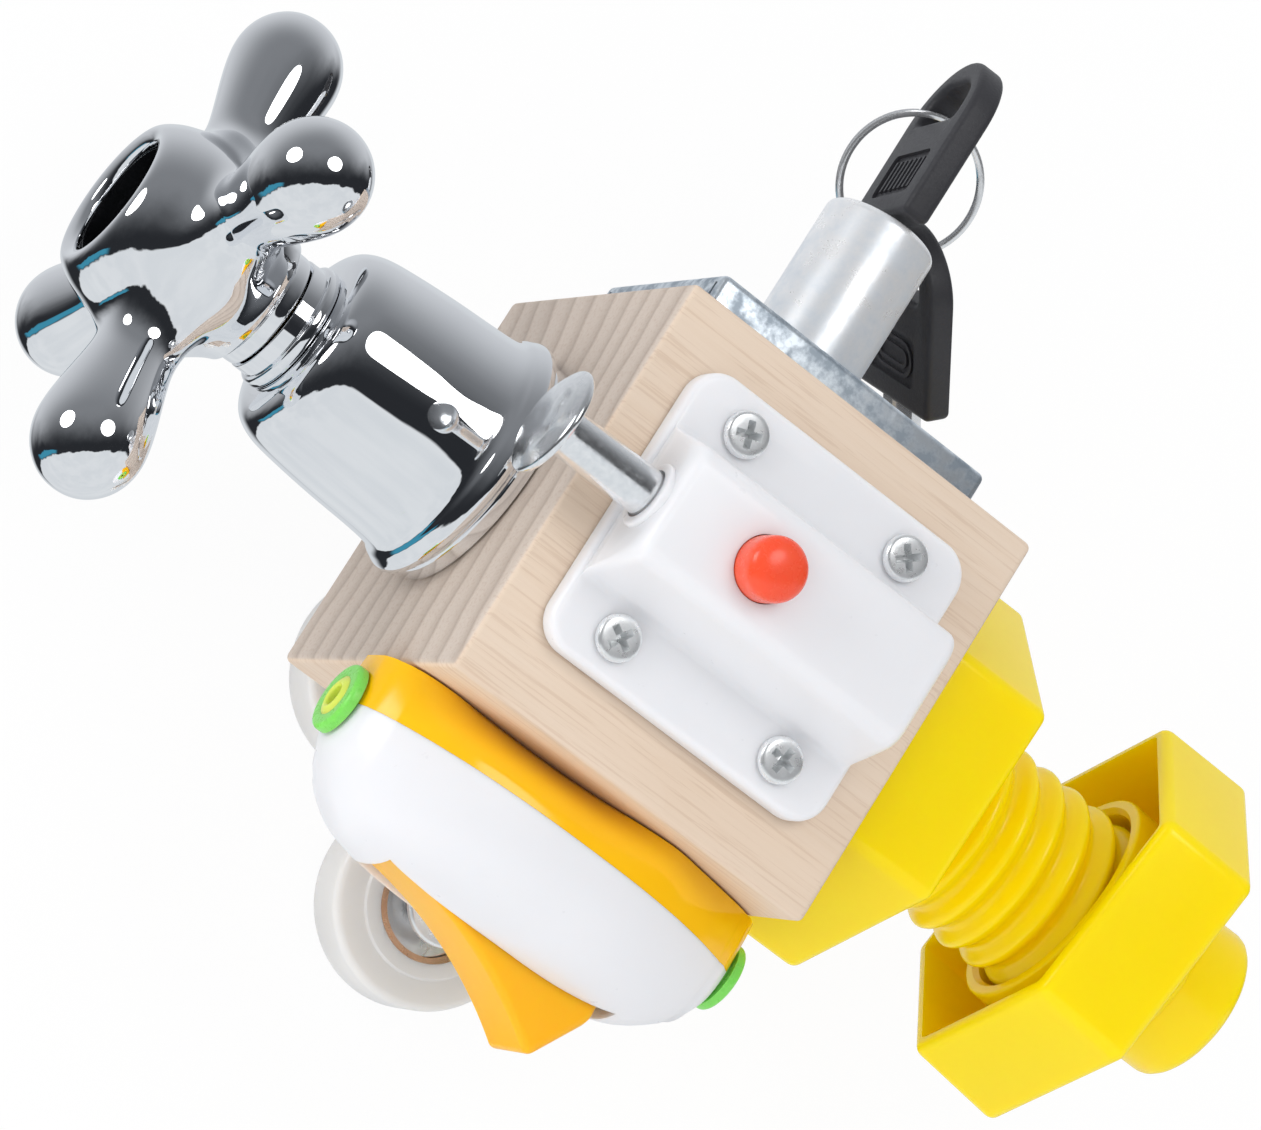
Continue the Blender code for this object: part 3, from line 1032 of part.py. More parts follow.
def set_on_ground(root):
    """Move the whole part so that the origin is under its middle, on the surface that it stands on."""
    bpy.context.view_layer.update()
    depsgraph = bpy.context.evaluated_depsgraph_get()
    corners = []
    for item in bpy.data.objects:
        if item.type == "MESH" and not item.hide_render:
            evaluated = item.evaluated_get(depsgraph)
            corners += [evaluated.matrix_world @ vertex.co for vertex in evaluated.data.vertices]
    low = [min(corner[axis] for corner in corners) for axis in range(3)]
    high = [max(corner[axis] for corner in corners) for axis in range(3)]
    root.location = (-(low[0] + high[0]) / 2, -(low[1] + high[1]) / 2, -low[2])
    bpy.context.view_layer.update()


def main():
    """Build the whole part."""
    clear_scene()
    materials = {
        "wood": make_material("pine", (0.72, 0.52, 0.33), 0.6),
        "chrome": make_material("chrome plate", (0.86, 0.87, 0.88), 0.06, 1.0),
        "brass": make_material("plain brass", (0.68, 0.53, 0.25), 0.3, 1.0),
        "zinc": make_material("zinc plate", (0.62, 0.65, 0.68), 0.3, 1.0),
        "steel": make_material("bright steel", (0.66, 0.67, 0.68), 0.22, 1.0),
        "black": make_material("black plastic", (0.02, 0.02, 0.025), 0.45),
        "white": make_material("white plastic", (0.86, 0.87, 0.90), 0.35),
        "red": make_material("red plastic", (0.80, 0.07, 0.03), 0.2),
        "yellow": make_material("yellow plastic", (0.98, 0.66, 0.01), 0.3),
        "amber": make_material("amber plastic", (0.95, 0.50, 0.02), 0.35),
        "green": make_material("green rubber", (0.25, 0.62, 0.10), 0.4),
        "nylon": make_material("nylon", (0.80, 0.79, 0.76), 0.35),
    }
    root = make_empty("cube", Matrix.Identity(4))
    frames = {
        "root": root,
        "tap": face_frame("tap face", (-1, 0, 0), (0, 1, 0), root),
        "lock": face_frame("lock face", (0, 1, 0), (1, 0, 0), root),
        "latch": face_frame("latch face", (0, 0, 1), (1, 0, 0), root),
        "bolt": face_frame("bolt face", (1, 0, 0), (0, 1, 0), root),
        "switch": face_frame("switch face", (0, -1, 0), (1, 0, 0), root),
        "roller": face_frame("roller face", (0, 0, -1), (1, 0, 0), root),
    }
    key_frame = make_empty("key frame", lay_over(BARREL_SHIFT_X, 0) @ Matrix.Rotation(KEY_REST_ANGLE, 4, "Z"),
                           frames["lock"])
    screw_mesh = cross_screw_mesh(materials["zinc"])
    build_block(frames, materials["wood"])
    build_tap(frames["tap"], materials)
    barrel_top = build_lock(frames["lock"], key_frame, materials, screw_mesh)
    build_keys(frames["lock"], key_frame, barrel_top, materials)
    build_latch(frames["latch"], materials, screw_mesh)
    build_toy_bolt(frames["bolt"], root, materials)
    build_switch(frames["switch"], materials, screw_mesh)
    build_rollers(frames["roller"], materials, screw_mesh)
    set_on_ground(root)


main()
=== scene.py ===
"""Looks of the busy cube: a pine block that carries one piece of household hardware on each face.

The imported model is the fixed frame. Each sub-assembly is a class that builds the fine surfaces of
its own pieces, in the row frame and in metres, and gives every piece its finish.
"""
from __future__ import annotations

import json
import logging
import math
from dataclasses import dataclass
from enum import Enum
from typing import Callable, ClassVar, Iterable, Sequence

import bmesh
import bpy
from mathutils import Matrix, Vector

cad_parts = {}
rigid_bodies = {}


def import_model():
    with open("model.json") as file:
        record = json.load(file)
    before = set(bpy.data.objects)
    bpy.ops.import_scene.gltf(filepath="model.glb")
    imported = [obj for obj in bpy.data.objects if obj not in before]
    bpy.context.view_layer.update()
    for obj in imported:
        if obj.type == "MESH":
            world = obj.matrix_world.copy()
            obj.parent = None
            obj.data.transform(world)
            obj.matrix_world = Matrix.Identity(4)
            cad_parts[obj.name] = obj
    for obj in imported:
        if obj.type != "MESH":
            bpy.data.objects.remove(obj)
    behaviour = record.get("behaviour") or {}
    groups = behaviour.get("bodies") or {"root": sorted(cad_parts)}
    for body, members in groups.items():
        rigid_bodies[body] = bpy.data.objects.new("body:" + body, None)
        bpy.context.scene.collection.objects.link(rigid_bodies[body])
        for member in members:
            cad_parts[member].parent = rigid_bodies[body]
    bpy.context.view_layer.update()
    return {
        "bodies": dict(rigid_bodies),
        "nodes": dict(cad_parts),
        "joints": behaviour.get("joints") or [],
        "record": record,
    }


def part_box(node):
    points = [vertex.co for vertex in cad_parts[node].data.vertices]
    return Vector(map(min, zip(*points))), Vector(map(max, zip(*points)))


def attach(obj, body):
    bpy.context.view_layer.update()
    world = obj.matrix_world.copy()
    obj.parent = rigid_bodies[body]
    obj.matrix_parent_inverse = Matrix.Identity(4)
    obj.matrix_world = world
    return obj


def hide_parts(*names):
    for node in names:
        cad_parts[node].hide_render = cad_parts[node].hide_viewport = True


LOG = logging.getLogger("busy_cube")
CLEARANCE = 0.0003
SEAM = 0.00006
MERGE = 0.000002
OVERRUN = 0.001
SCREW_BORE = 0.0015
SCRATCH_SCALE = 900.0
Point = tuple[float, float]
Colour = tuple[float, float, float]
# Stands a form up: its X becomes Y, its Y becomes Z and its Z becomes X.
STAND = Matrix(((0, 0, 1, 0), (1, 0, 0, 0), (0, 1, 0, 0), (0, 0, 0, 1)))


def lathe(profile: Sequence[Point], sides: int = 96) -> bmesh.types.BMesh:
    """Spin a profile round Z.

    Args:
        profile: (radius, height) points in order; the last is joined to the first.
        sides: number of steps in the full turn.

    Returns:
        A closed bmesh.
    """
    bm = bmesh.new()
    verts = [bm.verts.new((radius, 0, height)) for radius, height in profile]
    pairs = zip(verts, verts[1:] + verts[:1])
    edges = [bm.edges.new(pair) for pair in pairs if max(pair[0].co.x, pair[1].co.x) > MERGE]
    bmesh.ops.spin(bm, geom=verts + edges, cent=(0, 0, 0), axis=(0, 0, 1), angle=math.tau, steps=sides,
                   use_merge=True)
    bmesh.ops.remove_doubles(bm, verts=bm.verts, dist=MERGE)
    return bm


def slab(outline: Sequence[Point], low: float, high: float) -> bmesh.types.BMesh:
    """Extrude a closed outline along Z between two heights."""
    bm = bmesh.new()
    face = bm.faces.new([bm.verts.new((x, y, low)) for x, y in outline])
    grown = bmesh.ops.extrude_face_region(bm, geom=[face])["geom"]
    bmesh.ops.translate(bm, verts=[item for item in grown if isinstance(item, bmesh.types.BMVert)],
                        vec=(0, 0, high - low))
    return bm


def sweep(loops: Sequence[Sequence[Vector]], closed: bool = False) -> bmesh.types.BMesh:
    """Extrude a closed loop of points through more loops of as many points.

    Args:
        loops: the loops in order; one that shrinks to a point becomes a pole.
        closed: join the last loop to the first; otherwise both ends are capped.

    Returns:
        A closed bmesh.
    """
    bm = bmesh.new()
    ring = [bm.verts.new(point) for point in loops[0]]
    edges = [bm.edges.new(pair) for pair in zip(ring, ring[1:] + ring[:1])]
    start = list(edges)
    for loop in list(loops[1:]) + ([loops[0]] if closed else []):
        grown = bmesh.ops.extrude_edge_only(bm, edges=edges)["geom"]
        fresh = {item for item in grown if isinstance(item, bmesh.types.BMVert)}
        ring = [next(edge.other_vert(vert) for edge in vert.link_edges if edge.other_vert(vert) in fresh)
                for vert in ring]
        for vert, point in zip(ring, loop):
            vert.co = point
        after = ring[1:] + ring[:1]
        edges = [next(edge for edge in vert.link_edges if edge.other_vert(vert) is other)
                 for vert, other in zip(ring, after)]
    if not closed:
        for end in (start, edges):
            if end[0].calc_length() > MERGE:
                bmesh.ops.contextual_create(bm, geom=end)
    bmesh.ops.remove_doubles(bm, verts=bm.verts, dist=MERGE)
    return bm


def arc(centre: Point, radius: float, start: float, end: float, steps: int = 8) -> list[Point]:
    """Return points on an arc with both its ends; angles in degrees."""
    turns = [math.radians(start + (end - start) * step / steps) for step in range(steps + 1)]
    return [(centre[0] + radius * math.cos(turn), centre[1] + radius * math.sin(turn)) for turn in turns]


def smooth_line(points: Sequence[Point], steps: int = 6) -> list[Point]:
    """Return a Catmull-Rom curve through points, with steps between each pair."""
    padded = [points[0], *points, points[-1]]
    line = []
    for before, start, end, after in zip(padded, padded[1:], padded[2:], padded[3:]):
        for step in range(steps):
            t = step / steps
            line.append(tuple((2 * b + (c - a) * t + (2 * a - 5 * b + 4 * c - d) * t * t
                               + (3 * b - a - 3 * c + d) * t**3) / 2
                              for a, b, c, d in zip(before, start, end, after)))
    return line + [tuple(points[-1])]


def level_ring(radius: float, turns: Sequence[float], height: float) -> list[Vector]:
    """Return points round Z at a height; turns in radians."""
    return [Vector((radius * math.cos(turn), radius * math.sin(turn), height)) for turn in turns]


def clamped(*values: float) -> float:
    """Return the least of some values, kept between 0 and 1."""
    return max(0.0, min(1.0, *values))


def round_rectangle(length: float, width: float, radius: float, steps: int = 8) -> list[Point]:
    """Return the outline of a rectangle with round corners about the origin."""
    x, y = length / 2 - radius, width / 2 - radius
    return (arc((x, y), radius, 0, 90, steps) + arc((-x, y), radius, 90, 180, steps)
            + arc((-x, -y), radius, 180, 270, steps) + arc((x, -y), radius, 270, 360, steps))


def round_edges(bm: bmesh.types.BMesh, width: float, segments: int = 4, angle: float = 30,
                keep: Callable[[bmesh.types.BMEdge], bool] | None = None) -> bmesh.types.BMesh:
    """Round the edges that turn by more than an angle, or only those that keep() picks."""
    bm.normal_update()
    limit = math.radians(angle)
    edges = [edge for edge in bm.edges if edge.is_manifold and edge.calc_face_angle(0) > limit
             and (keep is None or keep(edge))]
    bmesh.ops.bevel(bm, geom=edges, offset=width, offset_type="OFFSET", affect="EDGES", segments=segments,
                    profile=0.5, material=-1, clamp_overlap=True)
    return bm


def block(low: Sequence[float], high: Sequence[float]) -> bmesh.types.BMesh:
    """Return a box between two corners."""
    bm = bmesh.new()
    bmesh.ops.create_cube(bm, size=1.0)
    size = [top - bottom for bottom, top in zip(low, high)]
    middle = Vector([(top + bottom) / 2 for bottom, top in zip(low, high)])
    bmesh.ops.scale(bm, verts=bm.verts, vec=size)
    bmesh.ops.translate(bm, verts=bm.verts, vec=middle)
    return bm


def rod(radius: float, low: float, high: float, sides: int = 48) -> bmesh.types.BMesh:
    """Return a round bar along Z."""
    bm = bmesh.new()
    bmesh.ops.create_cone(bm, cap_ends=True, segments=sides, radius1=radius, radius2=radius, depth=high - low)
    bmesh.ops.translate(bm, verts=bm.verts, vec=(0, 0, (high + low) / 2))
    return bm


def moved(bm: bmesh.types.BMesh, matrix: Matrix) -> bmesh.types.BMesh:
    """Move a form by a matrix and return it."""
    bmesh.ops.transform(bm, matrix=matrix, verts=bm.verts)
    return bm


def joined(parts: Iterable[tuple[bmesh.types.BMesh, Matrix]]) -> bmesh.types.BMesh:
    """Collect bmeshes, each moved by its matrix, into one."""
    whole = bmesh.new()
    for part, matrix in parts:
        mesh = bpy.data.meshes.new("part of a piece")
        moved(part, matrix).to_mesh(mesh)
        part.free()
        whole.from_mesh(mesh)
        bpy.data.meshes.remove(mesh)
    return whole


def combine(base: bmesh.types.BMesh, tool: bmesh.types.BMesh, operation: str = "DIFFERENCE") -> bmesh.types.BMesh:
    """Cut or join one closed form with another and return the result as a bmesh."""
    items = []
    for bm in (base, tool):
        bmesh.ops.remove_doubles(bm, verts=bm.verts, dist=MERGE)
        bmesh.ops.recalc_face_normals(bm, faces=bm.faces)
        mesh = bpy.data.meshes.new("shape")
        bm.to_mesh(mesh)
        bm.free()
        item = bpy.data.objects.new("shape", mesh)
        bpy.context.scene.collection.objects.link(item)
        items.append(item)
    modifier = items[0].modifiers.new("combine", "BOOLEAN")
    modifier.operation = operation
    modifier.object = items[1]
    evaluated = items[0].evaluated_get(bpy.context.evaluated_depsgraph_get())
    result = bmesh.new()
    result.from_mesh(evaluated.to_mesh())
    evaluated.to_mesh_clear()
    for item in items:
        mesh = item.data
        bpy.data.objects.remove(item)
        bpy.data.meshes.remove(mesh)
    return result


def at(x: float, y: float, z: float = 0.0) -> Matrix:
    """Return the matrix that moves a form to a place."""
    return Matrix.Translation((x, y, z))


def turn(degrees: float, axis: str) -> Matrix:
    """Return the matrix that turns a form about an axis."""
    return Matrix.Rotation(math.radians(degrees), 4, axis)


def basis(across: Sequence[float], outward: Sequence[float], origin: Vector) -> Matrix:
    """Return the frame whose X runs along across and whose Z points outward."""
    z = Vector(outward).normalized()
    x = Vector(across)
    x = (x - z * x.dot(z)).normalized()
    return Matrix.Translation(origin) @ Matrix((x, z.cross(x), z)).transposed().to_4x4()


class Nodes:
    """A node tree with short ways to add and join nodes."""

    def __init__(self, tree: bpy.types.NodeTree) -> None:
        """Keep the tree."""
        self.tree = tree

    def node(self, kind: str, **values: object) -> bpy.types.Node:
        """Add a node and set its properties."""
        item = self.tree.nodes.new(kind)
        for key, value in values.items():
            setattr(item, key, value)
        return item

    def join(self, output: bpy.types.NodeSocket, target: bpy.types.NodeSocket) -> None:
        """Link an output to an input."""
        self.tree.links.new(output, target)

    def feed(self, value: object, socket: bpy.types.NodeSocket) -> None:
        """Give an input its value.

        Args:
            value: an output to link, a colour or a number.
            socket: the input.
        """
        if isinstance(value, bpy.types.NodeSocket):
            self.join(value, socket)
        else:
            socket.default_value = (*value, 1.0) if isinstance(value, tuple) else value

    def calculate(self, operation: str, *values: object) -> bpy.types.NodeSocket:
        """Work out a value.

        Args:
            operation: what is done.
            values: what it is done to, each an output or a number.

        Returns:
            The result's output.
        """
        item = self.node("ShaderNodeMath", operation=operation)
        for value, socket in zip(values, item.inputs):
            self.feed(value, socket)
        return item.outputs[0]

    def mapped(self, place: bpy.types.NodeSocket, scale: Sequence[float] = (1, 1, 1),
               rotation: Sequence[float] = (0, 0, 0), centre: Sequence[float] = (0, 0, 0)) -> bpy.types.NodeSocket:
        """Return coordinates that are stretched, turned and centred."""
        mapping = self.node("ShaderNodeMapping")
        mapping.inputs["Scale"].default_value = scale
        mapping.inputs["Rotation"].default_value = rotation
        mapping.inputs["Location"].default_value = centre
        self.join(place, mapping.inputs["Vector"])
        return mapping.outputs["Vector"]

    def noise(self, place: bpy.types.NodeSocket, scale: object, detail: float,
              roughness: float = 0.5) -> bpy.types.Node:
        """Add a noise texture.

        Args:
            place: the coordinates that it reads.
            scale: how fine it is, an output or a number.
            detail: how many finer layers it has.
            roughness: how strong the finer layers are.

        Returns:
            The node.
        """
        item = self.node("ShaderNodeTexNoise")
        item.inputs["Detail"].default_value = detail
        item.inputs["Roughness"].default_value = roughness
        self.join(place, item.inputs["Vector"])
        self.feed(scale, item.inputs["Scale"])
        return item

    def ramp(self, value: bpy.types.NodeSocket, low: object, high: object,
             kind: str = "SMOOTHSTEP") -> bpy.types.NodeSocket:
        """Map a range of a value onto 0 to 1.

        Args:
            value: what is mapped.
            low: the value that gives 0, an output or a number.
            high: the value that gives 1.
            kind: how it runs between them.

        Returns:
            The mapped value.
        """
        item = self.node("ShaderNodeMapRange", interpolation_type=kind)
        self.join(value, item.inputs["Value"])
        self.feed(low, item.inputs["From Min"])
        self.feed(high, item.inputs["From Max"])
        return item.outputs["Result"]

    def spread(self, value: bpy.types.NodeSocket, low: float, high: float) -> bpy.types.NodeSocket:
        """Map a 0 to 1 value onto a range."""
        item = self.node("ShaderNodeMapRange")
        item.inputs["To Min"].default_value = low
        item.inputs["To Max"].default_value = high
        self.join(value, item.inputs["Value"])
        return item.outputs["Result"]

    def mix(self, factor: object, first: object, second: object) -> bpy.types.NodeSocket:
        """Mix two colours, each an output or a colour."""
        item = self.node("ShaderNodeMix", data_type="RGBA")
        for value, number in ((factor, 0), (first, 6), (second, 7)):
            self.feed(value, item.inputs[number])
        return item.outputs[2]

    def layer(self, factor: bpy.types.NodeSocket, first: bpy.types.NodeSocket,
              second: bpy.types.NodeSocket) -> bpy.types.NodeSocket:
        """Mix two shaders."""
        item = self.node("ShaderNodeMixShader")
        for value, number in ((factor, 0), (first, 1), (second, 2)):
            self.join(value, item.inputs[number])
        return item.outputs["Shader"]


class Shade(Nodes):
    """A material's tree, with its Principled shader and the piece's own coordinates."""

    def __init__(self, name: str) -> None:
        """Start a material with its Principled shader."""
        self.material = bpy.data.materials.new(name)
        self.material.use_nodes = True
        super().__init__(self.material.node_tree)
        self.shader = self.tree.nodes["Principled BSDF"]
        self.place = self.node("ShaderNodeTexCoord").outputs["Object"]

    def group(self, tree: bpy.types.NodeTree, place: bpy.types.NodeSocket | None = None,
              **values: float) -> bpy.types.NodeSocket:
        """Add a shared effect.

        Args:
            tree: the effect.
            place: the coordinates that it reads, or else the piece's own.
            values: its own values.

        Returns:
            The effect's mask.
        """
        item = self.node("ShaderNodeGroup", node_tree=tree)
        self.join(place or self.place, item.inputs["Vector"])
        for key, value in values.items():
            item.inputs[key.title()].default_value = value
        return item.outputs["Mask"]

    def bump(self, height: bpy.types.NodeSocket, strength: float, distance: float) -> None:
        """Raise the surface by a height in steps of a distance in metres."""
        item = self.node("ShaderNodeBump")
        item.inputs["Strength"].default_value = strength
        item.inputs["Distance"].default_value = distance
        self.join(height, item.inputs["Height"])
        self.join(item.outputs["Normal"], self.shader.inputs["Normal"])


def effect(name: str, inputs: dict[str, float],
           build: Callable[[Nodes, bpy.types.Node], bpy.types.NodeSocket]) -> bpy.types.NodeTree:
    """Make a shared shader effect, which puts out a mask, as a node group.

    Args:
        name: the effect's name.
        inputs: its values and their defaults, next to the vector that it reads.
        build: fills the tree from its input node, and returns the mask.

    Returns:
        The node group.
    """
    tree = bpy.data.node_groups.new(name, "ShaderNodeTree")
    tree.interface.new_socket(name="Vector", in_out="INPUT", socket_type="NodeSocketVector")
    for key, value in inputs.items():
        tree.interface.new_socket(name=key, in_out="INPUT", socket_type="NodeSocketFloat").default_value = value
    tree.interface.new_socket(name="Mask", in_out="OUTPUT", socket_type="NodeSocketFloat")
    nodes = Nodes(tree)
    mask = build(nodes, nodes.node("NodeGroupInput"))
    nodes.join(mask, nodes.node("NodeGroupOutput").inputs["Mask"])
    return tree


def cloudy_mask(nodes: Nodes, source: bpy.types.Node) -> bpy.types.NodeSocket:
    """Return soft uneven patches with a contrast."""
    noise = nodes.noise(source.outputs["Vector"], source.outputs["Scale"], 5, 0.62)
    width = source.outputs["Width"]
    low, high = nodes.calculate("SUBTRACT", 0.5, width), nodes.calculate("ADD", 0.5, width)
    return nodes.ramp(noise.outputs[0], low, high, "LINEAR")


def scratch_mask(nodes: Nodes, source: bpy.types.Node) -> bpy.types.NodeSocket:
    """Return sparse hairlines in two directions."""
    marks = []
    for angle in (0.6, 2.1):
        place = nodes.mapped(source.outputs["Vector"], (1.0, 0.04, 0.3), (angle, angle * 0.7, angle * 1.3))
        noise = nodes.noise(place, source.outputs["Scale"], 1)
        marks.append(nodes.ramp(noise.outputs[0], 0.70, 0.76, "LINEAR"))
    return nodes.calculate("MAXIMUM", *marks)


@dataclass(frozen=True)
class Metal:
    """A plated or bare metal: its colours, how rough it is, and how its surface varies.

    The patch is its scale and contrast; the grain is its scale and its height in metres.
    """

    name: str
    colour: Colour
    dull: Colour
    roughness: tuple[float, float]
    patch: tuple[float, float]
    grain: tuple[float, float] | None = None
    scratches: float = 0.15
    metallic: float = 1.0

    def make(self, effects: dict[str, bpy.types.NodeTree]) -> bpy.types.Material:
        """Return the material."""
        shade = Shade(self.name)
        shade.shader.inputs["Metallic"].default_value = self.metallic
        patch = shade.group(effects["cloudy"], scale=self.patch[0], width=self.patch[1])
        marks = shade.group(effects["scratches"], scale=SCRATCH_SCALE)
        shade.join(shade.mix(patch, self.colour, self.dull), shade.shader.inputs["Base Color"])
        worn = shade.calculate("MULTIPLY_ADD", marks, self.scratches, shade.spread(patch, *self.roughness))
        shade.join(worn, shade.shader.inputs["Roughness"])
        if self.grain:
            shade.bump(shade.group(effects["cloudy"], scale=self.grain[0], width=0.3), 1.0, self.grain[1])
        return shade.material


@dataclass(frozen=True)
class Plastic:
    """A moulded plastic: its colours, gloss, how far light goes in, and the mould's fine texture."""

    name: str
    colour: Colour
    shade_colour: Colour
    roughness: tuple[float, float]
    depth: float = 0.0
    glow: Colour = (1.0, 1.0, 1.0)
    coat: float = 0.0
    grain: tuple[float, float] = (500.0, 0.000001)
    sheen: float = 0.0
    shine: float = 0.5
    subsurface: float = 0.6

    def make(self, effects: dict[str, bpy.types.NodeTree]) -> bpy.types.Material:
        """Return the material."""
        shade = Shade(self.name)
        inputs = shade.shader.inputs
        patch = shade.group(effects["cloudy"], scale=55.0, width=0.28)
        fine = shade.group(effects["cloudy"], scale=self.grain[0], width=0.3)
        shade.join(shade.mix(patch, self.colour, self.shade_colour), inputs["Base Color"])
        shade.join(shade.spread(fine, *self.roughness), inputs["Roughness"])
        inputs["IOR"].default_value = 1.49
        inputs["Specular IOR Level"].default_value = self.shine
        inputs["Coat Weight"].default_value = self.coat
        inputs["Coat Roughness"].default_value = 0.08
        inputs["Sheen Weight"].default_value = self.sheen
        if self.depth:
            inputs["Subsurface Weight"].default_value = self.subsurface
            inputs["Subsurface Radius"].default_value = self.glow
            inputs["Subsurface Scale"].default_value = self.depth
        shade.bump(fine, 1.0, self.grain[1])
        return shade.material


@dataclass(frozen=True)
class Pine:
    """Sanded pine, sawn flat: growth rings round a pith far below, darker at the end grain."""

    name: str
    early: Colour
    late: Colour
    patch: Colour
    end: Colour
    end_late: Colour
    pore: Colour
    ring: float
    pith: tuple[float, float, float]
    band: tuple[Point, ...] = ((0.0, 0.75), (0.12, 0.06), (0.55, 0.16), (0.88, 0.6), (1.0, 1.0))

    def make(self, effects: dict[str, bpy.types.NodeTree]) -> bpy.types.Material:
        """Return the material."""
        shade = Shade(self.name)
        rings = self.rings(shade)
        fibre, pores, patch = (shade.group(effects["cloudy"], shade.mapped(shade.place, scale), scale=1.0, width=width)
                               for scale, width in (((28, 1100, 1100), 0.22), ((60, 2200, 2200), 0.09),
                                                    ((24, 60, 60), 0.3)))
        facing = shade.node("ShaderNodeSeparateXYZ")
        shade.join(shade.node("ShaderNodeTexCoord").outputs["Normal"], facing.inputs[0])
        end_grain = shade.ramp(shade.calculate("ABSOLUTE", facing.outputs["X"]), 0.55, 0.9)
        rings = shade.calculate("MULTIPLY", rings, shade.spread(end_grain, 0.34, 0.75))
        side = shade.mix(rings, self.early, self.late)
        side = shade.mix(shade.spread(fibre, 0.0, 0.30), side, self.late)
        side = shade.mix(shade.spread(patch, 0.0, 0.25), side, self.patch)
        colour = shade.mix(end_grain, side, shade.mix(rings, self.end, self.end_late))
        dark = shade.calculate("POWER", pores, 7.0)
        colour = shade.mix(shade.spread(dark, 0.0, 0.16), colour, self.pore)
        shade.join(colour, shade.shader.inputs["Base Color"])
        shade.join(shade.spread(fibre, 0.5, 0.7), shade.shader.inputs["Roughness"])
        shade.bump(fibre, 0.6, 0.00006)
        return shade.material

    def rings(self, shade: Shade) -> bpy.types.NodeSocket:
        """Return the growth rings: light in the early wood and dark in the late wood."""
        bend = shade.noise(shade.mapped(shade.place, (7, 22, 22)), 1.0, 3)
        centred = shade.mapped(shade.place, (0.0, 1, 1), centre=tuple(-value for value in self.pith))
        shift = shade.node("ShaderNodeVectorMath", operation="MULTIPLY_ADD")
        shift.inputs[1].default_value = (0, 0.012, 0.014)
        shade.join(bend.outputs["Color"], shift.inputs[0])
        shade.join(centred, shift.inputs[2])
        radius = shade.node("ShaderNodeVectorMath", operation="LENGTH")
        shade.join(shift.outputs["Vector"], radius.inputs[0])
        phase = shade.calculate("FRACT", shade.calculate("DIVIDE", radius.outputs["Value"], self.ring))
        band = shade.node("ShaderNodeValToRGB")
        elements = band.color_ramp.elements
        for stop, (place, value) in enumerate(self.band):
            element = elements[stop] if stop < 2 else elements.new(place)
            element.position = place
            element.color = (value, value, value, 1)
        shade.join(phase, band.inputs[0])
        return band.outputs["Color"]


class Look(Enum):
    """The finishes of the cube's pieces: the record's material slot, and which variety of it."""

    PINE = ("pine", "")
    CHROME = ("chrome", "")
    # near-black lining: painted shade inside the tap handle's mouth
    BORE = ("chrome", "painted mouth shade")
    BRASS = ("brass", "")
    ZINC = ("zinc", "")
    PIN = ("zinc", "drawn pin")
    TRAY = ("zinc", "mottled sheet")
    BARREL = ("zinc", "satin casting")
    STEEL = ("steel", "")
    # steel tinted copper: painted reflection of the pine in the rollers' bearings
    WOOD_REFLECTION = ("steel", "painted pine reflection ring")
    BLACK = ("black_plastic", "")
    WHITE = ("white_plastic", "")
    RED = ("red_plastic", "")
    YELLOW = ("yellow_plastic", "")
    ORANGE = ("yellow_plastic", "orange shell")
    AMBER = ("amber_plastic", "")
    GREEN = ("green_plastic", "")
    LINER = ("green_plastic", "pale liner")
    NYLON = ("nylon", "")

    @property
    def slot(self) -> str:
        """Return the record's material slot."""
        return self.value[0]


